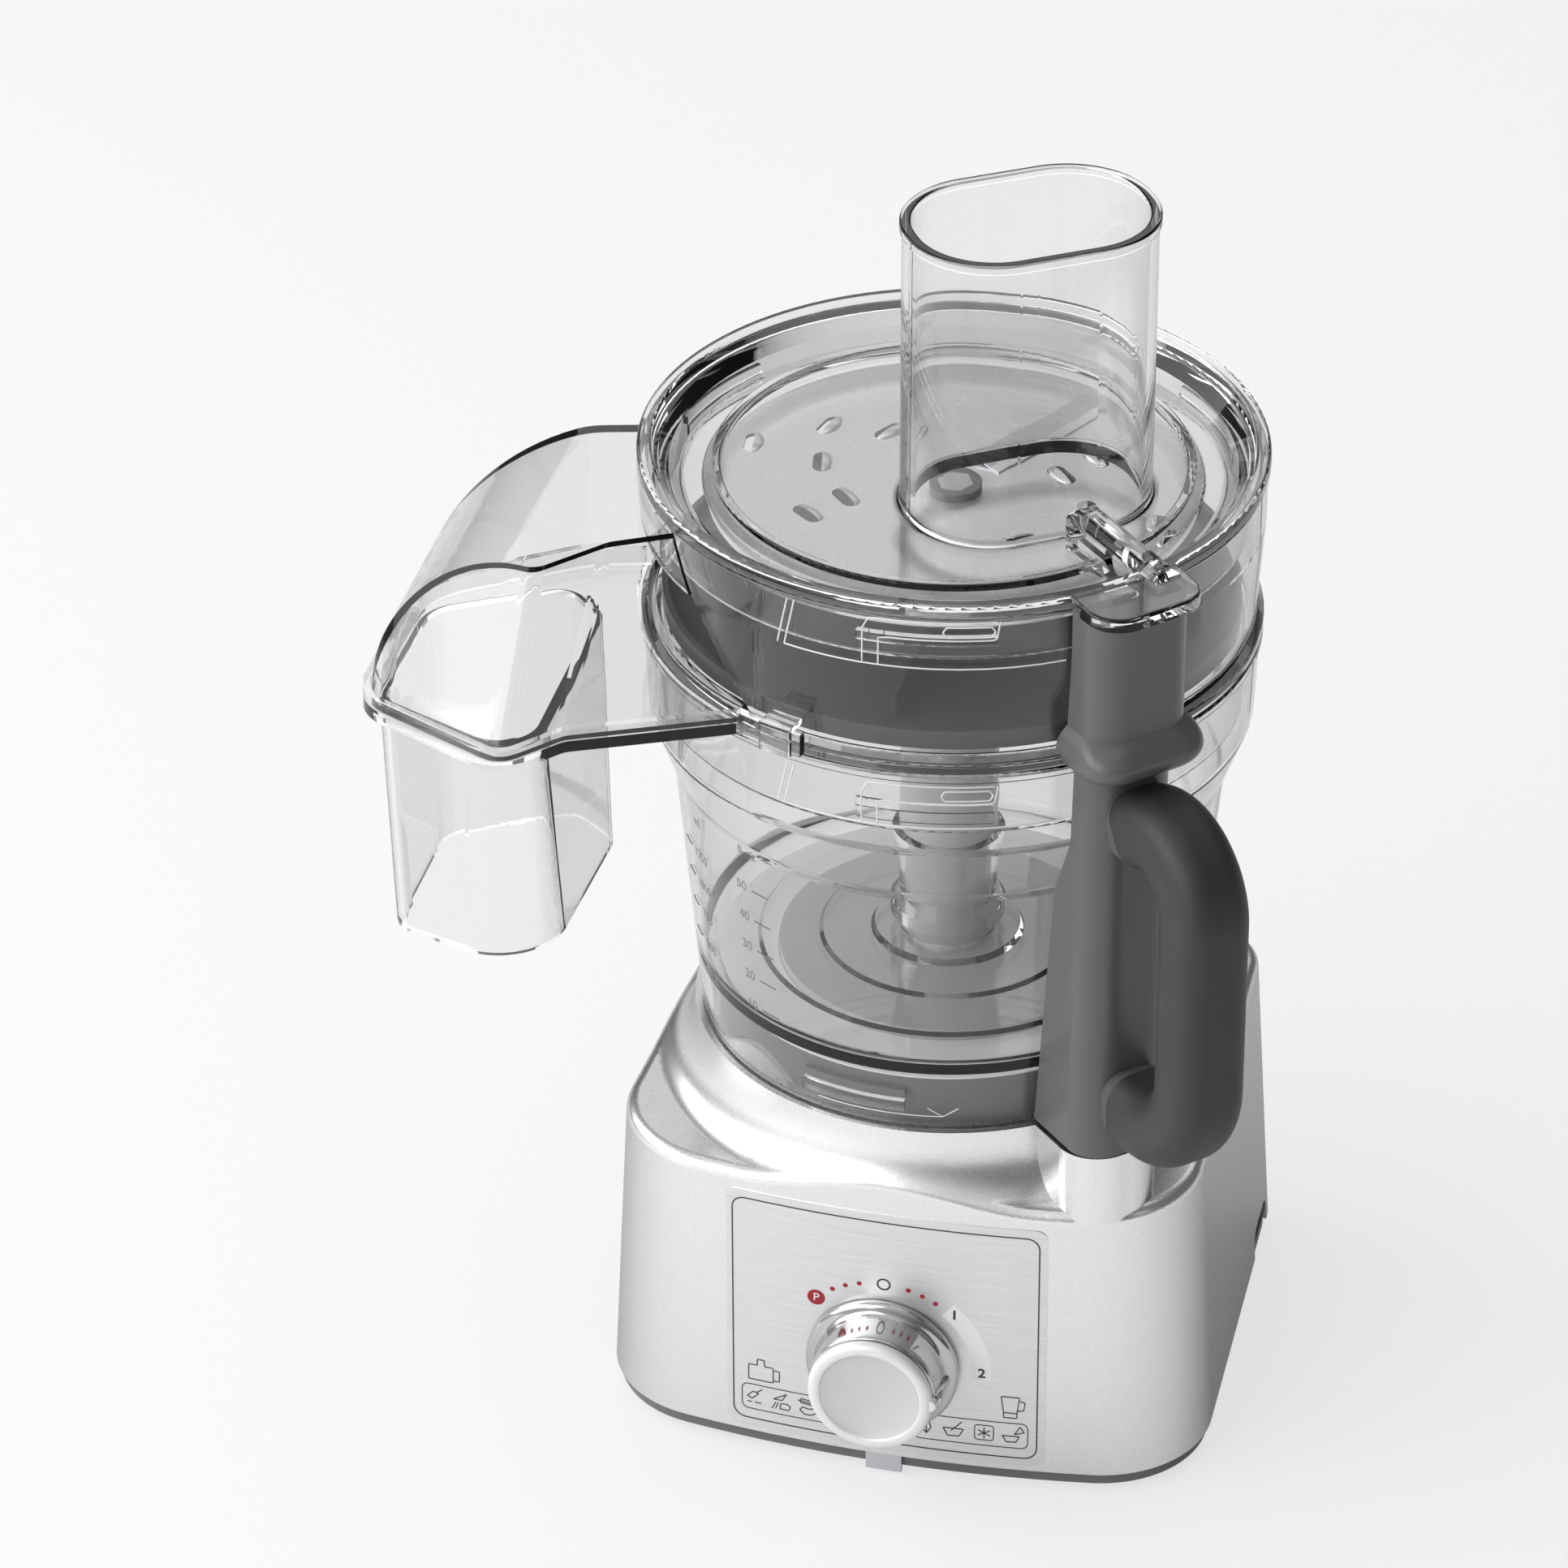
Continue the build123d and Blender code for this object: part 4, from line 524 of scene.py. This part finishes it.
# printing on the panel, with angles clockwise from the top of the dial and boxes as left, right, foot and top
panelInk = printedInk("panelInk", (0.035, 0.035, 0.04))
redInk = printedInk("panelRed", (0.36, 0.012, 0.02))
paleInk = printedInk("panelPale", (0.90, 0.90, 0.90))
marks = {"border": (-51.5, 51.0, 13.0, 103.0), "borderCorner": 4.5, "borderLine": 0.48,
         "boxes": [(-48.5, -13.5, 17.0, 27.5), (10.0, 48.0, 17.0, 27.5)], "boxCorner": 2.4, "boxLine": 0.36,
         "iceBox": (30.2, 36.8, 19.2, 25.6), "iceCorner": 1.2, "signLine": 0.42, "ringR": 31.5,
         "offR": 2.35, "offHole": 1.75, "pulseAt": -46.0, "pulseR": 3.0, "pulseSize": 4.4, "pulseThick": 0.2,
         "dotsAt": (-33, -24, -15, 15, 24, 33), "dotR": 0.85,
         "firstAt": 46.0, "secondAt": 90.0, "digitR": 32.5, "digitSize": 5.0, "digitBold": 0.16}
sweep = {"innerR": 29.3, "outerR": 35.6, "thick": 0.03, "past": 5.0, "steps": 24}


def dialSpot(degrees, reach=marks["ringR"]):
    angle = math.radians(degrees)
    return reach * math.sin(angle), dial["height"] + reach * math.cos(angle)


dark = [frameMesh(marks["border"], marks["borderCorner"], marks["borderLine"])]
dark += [frameMesh(box, marks["boxCorner"], marks["boxLine"]) for box in marks["boxes"]]
dark.append(discMesh(*dialSpot(0), marks["offR"], marks["offHole"]))
for degrees, text in ((marks["firstAt"], "1"), (marks["secondAt"], "2")):
    x, z = dialSpot(degrees, marks["digitR"])
    dark.append(letterMesh(text, marks["digitSize"], x, z, bold=marks["digitBold"]))
print("panel lines drawn")

# each sign is its left end, its foot and its strokes
pictograms = {
    "jug": (-46.0, 29.0, [
        [(0, 0.5), (0, 6.5), (3, 6.5), (3, 9), (5.5, 9), (5.5, 6.5), (8.5, 6.5), (8.5, 0.5), (0, 0.5)],
        [(8.5, 5.6), (10.6, 5.6), (10.6, 1.4), (8.5, 1.4)]]),
    "beaker": (39.0, 29.5, [
        [(0, 8.5), (6, 8.5), (5.2, 2), (0.8, 2), (0, 8.5)], [(0.8, 2), (0.8, 0), (5.2, 0), (5.2, 2)],
        [(5.8, 7.2), (7.8, 6.6), (7.4, 3.4), (5.4, 3)]]),
    "knife": (-46.5, 19.2, [
        [(0, 3), (2, 5.2), (4, 4.6), (1.6, 2.2), (0, 3)], [(3.2, 5.0), (5.2, 6.6)],
        [(0, 0.8), (1.6, 0.8)], [(2.6, 0.8), (4.8, 0.8)]]),
    "grate": (-38.0, 19.2, [
        [(0.6, 3.8), (5.0, 6.6)], [(0.6, 3.8), (3.6, 3.8), (5.0, 6.6)],
        [(0, 0), (1.4, 2.6)], [(1.2, 0), (2.2, 2.6)],
        [(2.8, 0.2), (5.8, 0.2), (6.4, 1.6), (5.2, 2.6), (3.0, 2.4), (2.8, 0.2)]]),
    "dough": (-29.0, 19.2, [
        [(0, 5.4), (7.4, 4.6)], [(0.9, 6.2), (6.6, 5.6), (6.5, 3.9), (0.8, 4.6), (0.9, 6.2)],
        [(0.6, 1.6), (1.6, 2.9), (3.6, 2.3), (5.4, 2.9), (6.4, 1.4), (4.6, 0), (2.2, 0), (0.6, 1.6)]]),
    "bowl": (-20.5, 19.2, [[(0, 3.4), (0.9, 1), (2.6, 0), (4.2, 1), (5.0, 3.4), (0, 3.4)]]),
    "whisk": (12.5, 19.2, [
        [(1.2, 6.6), (0.4, 2.8), (1.9, 0.4), (3.4, 2.8), (2.6, 6.6)], [(1.9, 6.8), (1.9, 0.6)]]),
    "mixing": (20.0, 19.2, [
        [(0, 3.6), (1.4, 0.6), (5.2, 0.6), (6.8, 3.6), (0, 3.6)], [(2.6, 2.6), (6.2, 6.6)]]),
    "ice": (30.5, 19.2, [[(3, 0.8), (3, 5.4)], [(1, 2), (5, 4.2)], [(1, 4.2), (5, 2)]]),
    "pour": (39.5, 19.2, [
        [(0, 2.8), (1.2, 0.4), (4.4, 0.4), (5.6, 2.8), (0, 2.8)],
        [(4.0, 3.6), (7.2, 4.6), (5.8, 6.8), (4.0, 3.6)]]),
}
signs = []
for across, up, lines in pictograms.values():
    signs += [[(px + across, pz + up) for px, pz in line] for line in lines]
dark.append(strokeMesh(signs, marks["signLine"]))
dark.append(frameMesh(marks["iceBox"], marks["iceCorner"], marks["boxLine"]))
addPiece("panelLines", layOnPanel(joined(dark, "panelLines")), "base", panelInk)
red = [discMesh(*dialSpot(marks["pulseAt"]), marks["pulseR"])]
red += [discMesh(*dialSpot(degrees), marks["dotR"]) for degrees in marks["dotsAt"]]
addPiece("panelDots", layOnPanel(joined(red, "panelDots")), "base", redInk)
pulse = letterMesh("P", marks["pulseSize"], *dialSpot(marks["pulseAt"]), marks["pulseThick"])
addPiece("pulseLetter", layOnPanel(joined([pulse], "pulseLetter")), "base", paleInk)
band = spinLoop([(sweep["innerR"], 0), (sweep["outerR"], 0), (sweep["outerR"], sweep["thick"]),
                 (sweep["innerR"], sweep["thick"])],
                marks["secondAt"] - marks["firstAt"] + 2 * sweep["past"], sweep["steps"])
bmesh.ops.rotate(band, verts=band.verts[:], cent=(0, 0, 0),
                 matrix=Matrix.Rotation(math.radians(-sweep["past"]), 3, "Z"))
standUp(band, 0, dial["height"])
addPiece("speedSweep", layOnPanel(toMesh(band, "speedSweep")), "base", paleInk)
print("panel printed,", len(pictograms), "signs")

# scale on the bowl, in two columns of numbers
scale = {"foot": 166.0, "step": 12.0, "rows": 5, "size": 5.0, "line": 0.5}
scaleColumns = [
    {"at": -126.0, "each": 10, "drop": 0, "tick": (5, 12), "unit": "fl oz", "unitX": 4, "unitRow": 5.2},
    {"at": -143.0, "each": 250, "drop": 4, "tick": (-14, -8), "unit": "ml", "unitX": 0, "unitRow": 4.8}]


def columnMesh(column):
    drawn = []
    for k in range(scale["rows"]):
        h = scale["foot"] + k * scale["step"] - column["drop"]
        drawn.append(letterMesh(str(column["each"] * (k + 1)), scale["size"], 0, h))
        drawn.append(strokeMesh([[(x, h) for x in column["tick"]]], scale["line"]))
    unitH = scale["foot"] + column["unitRow"] * scale["step"]
    drawn.append(letterMesh(column["unit"], scale["size"], column["unitX"], unitH))
    return layOnWall(joined(drawn, "column"), "bowl", column["at"])


bowlMarks = joined([columnMesh(column) for column in scaleColumns], "bowlScale")
addPiece("bowlScale", bowlMarks, "bowl", printedInk("scaleInk", (0.16, 0.16, 0.17)))

# raised guide lines on the clear walls, in millimetres round the wall from its middle, and in height
guides = {"at": -82.0, "line": 0.55, "gate": (-19.7, -14.6), "shoulder": 4, "ledge": 6.4,
          "slot": (5.2, 3.4, 1.6), "housing": (321.0, 337.6), "band": (262.0, 277.6)}
lock = {"at": -90.0, "line": 0.4,
        "strokes": [[(-25, 141.0), (17, 141.0)], [(12, 144.4), (17, 141.0), (22, 144.4)]]}


def guideLines(low, high):
    # outline of the bayonet's track, its floor, its end ribs and its slot
    gateLeft, gateRight = guides["gate"]
    shoulder = high - guides["shoulder"]
    ledge = high - guides["ledge"]
    slotFoot, slotMid, slotTop = (high - below for below in guides["slot"])
    lines = [[(gateLeft, shoulder), (gateLeft, low), (gateRight, low), (gateRight, ledge), (22.0, ledge),
              (23.0, high)],
             [(gateLeft, shoulder), (-17.6, high), (22.0, high)],
             [(-46.0, low), (gateLeft, low)], [(gateRight, low), (44.0, low)],
             [(-46.0, low), (-42.5, high)], [(-48.5, low), (-45.0, high)],
             [(6.5, slotFoot), (20.5, slotFoot), (21.6, slotMid), (20.5, slotTop), (6.5, slotTop),
              (5.4, slotMid), (6.5, slotFoot)]]
    return strokeMesh(lines, guides["line"])


# the raised lines are clear plastic drawn pale and opaque: a painted highlight along the ribs
guideHighlight = mouldedPlastic("guideHighlight", (0.80, 0.805, 0.81), 0.2, depth=0.02, spread=0.03)
for name, wall, body in (("housingGuides", "housing", "housing"), ("bandGuides", "band", "bowl")):
    raisedLines = layOnWall(guideLines(*guides[wall]), wall, guides["at"])
    addPiece(name, raisedLines, body, guideHighlight)
arrow = layOnWall(strokeMesh(lock["strokes"], lock["line"]), "bowl", lock["at"])
addPiece("lockArrow", arrow, "bowl", guideHighlight)
print("scale and guides made")

# studio: a pale floor, a dome that is brighter on the camera's left, and softboxes
studio = {"floorSize": 14.0, "floorColour": (0.94, 0.94, 0.94), "floorRough": 0.9, "floorShine": 0.1,
          "paleColour": (0.965, 0.965, 0.965), "paleShare": 0.72, "glossShare": 0.12,
          "domeTowards": (-0.56, -0.42, 0.71),
          "domeStops": [(0.0, (0.13, 0.13, 0.133, 1)), (1.0, (0.9, 0.9, 0.9, 1)),
                        (0.35, (0.16, 0.16, 0.164, 1)), (0.66, (0.58, 0.58, 0.59, 1))]}
floorMesh = bmesh.new()
bmesh.ops.create_grid(floorMesh, x_segments=1, y_segments=1, size=studio["floorSize"] / 2)
floor = bpy.data.objects.new("floor", toMesh(floorMesh, "floor"))
scene.collection.objects.link(floor)
paleFloor, wire = startMaterial("paleFloor")
lit = principled(wire, {"Base Color": studio["floorColour"] + (1,), "Roughness": studio["floorRough"],
                        "Specular IOR Level": studio["floorShine"]})
pale = wire.node("ShaderNodeEmission", {}, {"Color": studio["paleColour"] + (1,), "Strength": 1.0})
seen = (rays(wire, "Is Camera Ray", "Is Transmission Ray") * studio["paleShare"]).larger(
    rays(wire, "Is Glossy Ray") * studio["glossShare"])
floorShader = wire.node("ShaderNodeMixShader", {}, {0: seen, 1: lit, 2: pale})
floor.data.materials.append(endMaterial(paleFloor, wire, floorShader))

world = bpy.data.worlds.new("studio")
world.use_nodes = True
world.node_tree.nodes.clear()
scene.world = world
sky = Wire(world.node_tree)
around = sky.node("ShaderNodeTexCoord", {}, {}, "Generated")
towards = sky.node("ShaderNodeVectorMath", {"operation": "DOT_PRODUCT"},
                   {0: around, 1: studio["domeTowards"]}, "Value")
dome = sky.node("ShaderNodeValToRGB", {"stops": studio["domeStops"]}, {"Fac": towards})
skyShader = sky.node("ShaderNodeBackground", {}, {"Color": dome, "Strength": 1.0})
sky.node("ShaderNodeOutputWorld", {}, {"Surface": skyShader})

lamps = {
    "keyBox": {"place": (-1.35, -0.1, 0.95), "aim": (0, 0, 0.1), "size": (1.7, 1.1), "power": 12.5},
    "frontBox": {"place": (-0.95, -1.3, 0.95), "aim": (0, 0, 0.1), "size": (1.5, 1.2), "power": 12.0},
    "topBox": {"place": (0.1, 0.3, 2.2), "aim": (0, 0, 0.2), "size": (1.8, 1.4), "power": 5.0},
    "backBox": {"place": (-0.1, 2.1, 1.75), "aim": (0, 0, 0.3), "size": (2.0, 0.5), "power": 3.6},
    "sideBox": {"place": (1.9, -0.9, 1.1), "aim": (0, 0, 0.25), "size": (0.3, 1.2), "power": 0.7},
}
for name, box in lamps.items():
    lamp = bpy.data.lights.new(name, "AREA")
    lamp.shape = "RECTANGLE"
    lamp.size, lamp.size_y = box["size"]
    lamp.energy = box["power"]
    holder = bpy.data.objects.new(name, lamp)
    holder.location = box["place"]
    holder.rotation_euler = (Vector(box["aim"]) - Vector(box["place"])).to_track_quat("-Z", "Y").to_euler()
    scene.collection.objects.link(holder)

view = {"lens": 186.34, "sensor": 36.0, "far": 50.0, "place": (0.482446, -2.153609, 1.6334), "down": 32.721,
        "round": 14.015}
camera = bpy.data.cameras.new("camera")
camera.lens = view["lens"]
camera.sensor_width = view["sensor"]
camera.clip_end = view["far"]
eye = bpy.data.objects.new("camera", camera)
eye.location = Vector(view["place"]) + driveAxis
eye.rotation_euler = (math.radians(90 - view["down"]), 0, math.radians(view["round"]))
scene.collection.objects.link(eye)
scene.camera = eye
scene.view_settings.view_transform = "Standard"
scene.cycles.transparent_max_bounces = 24
scene.cycles.transmission_bounces = 16
scene.cycles.caustics_reflective = False
print("studio and camera set")
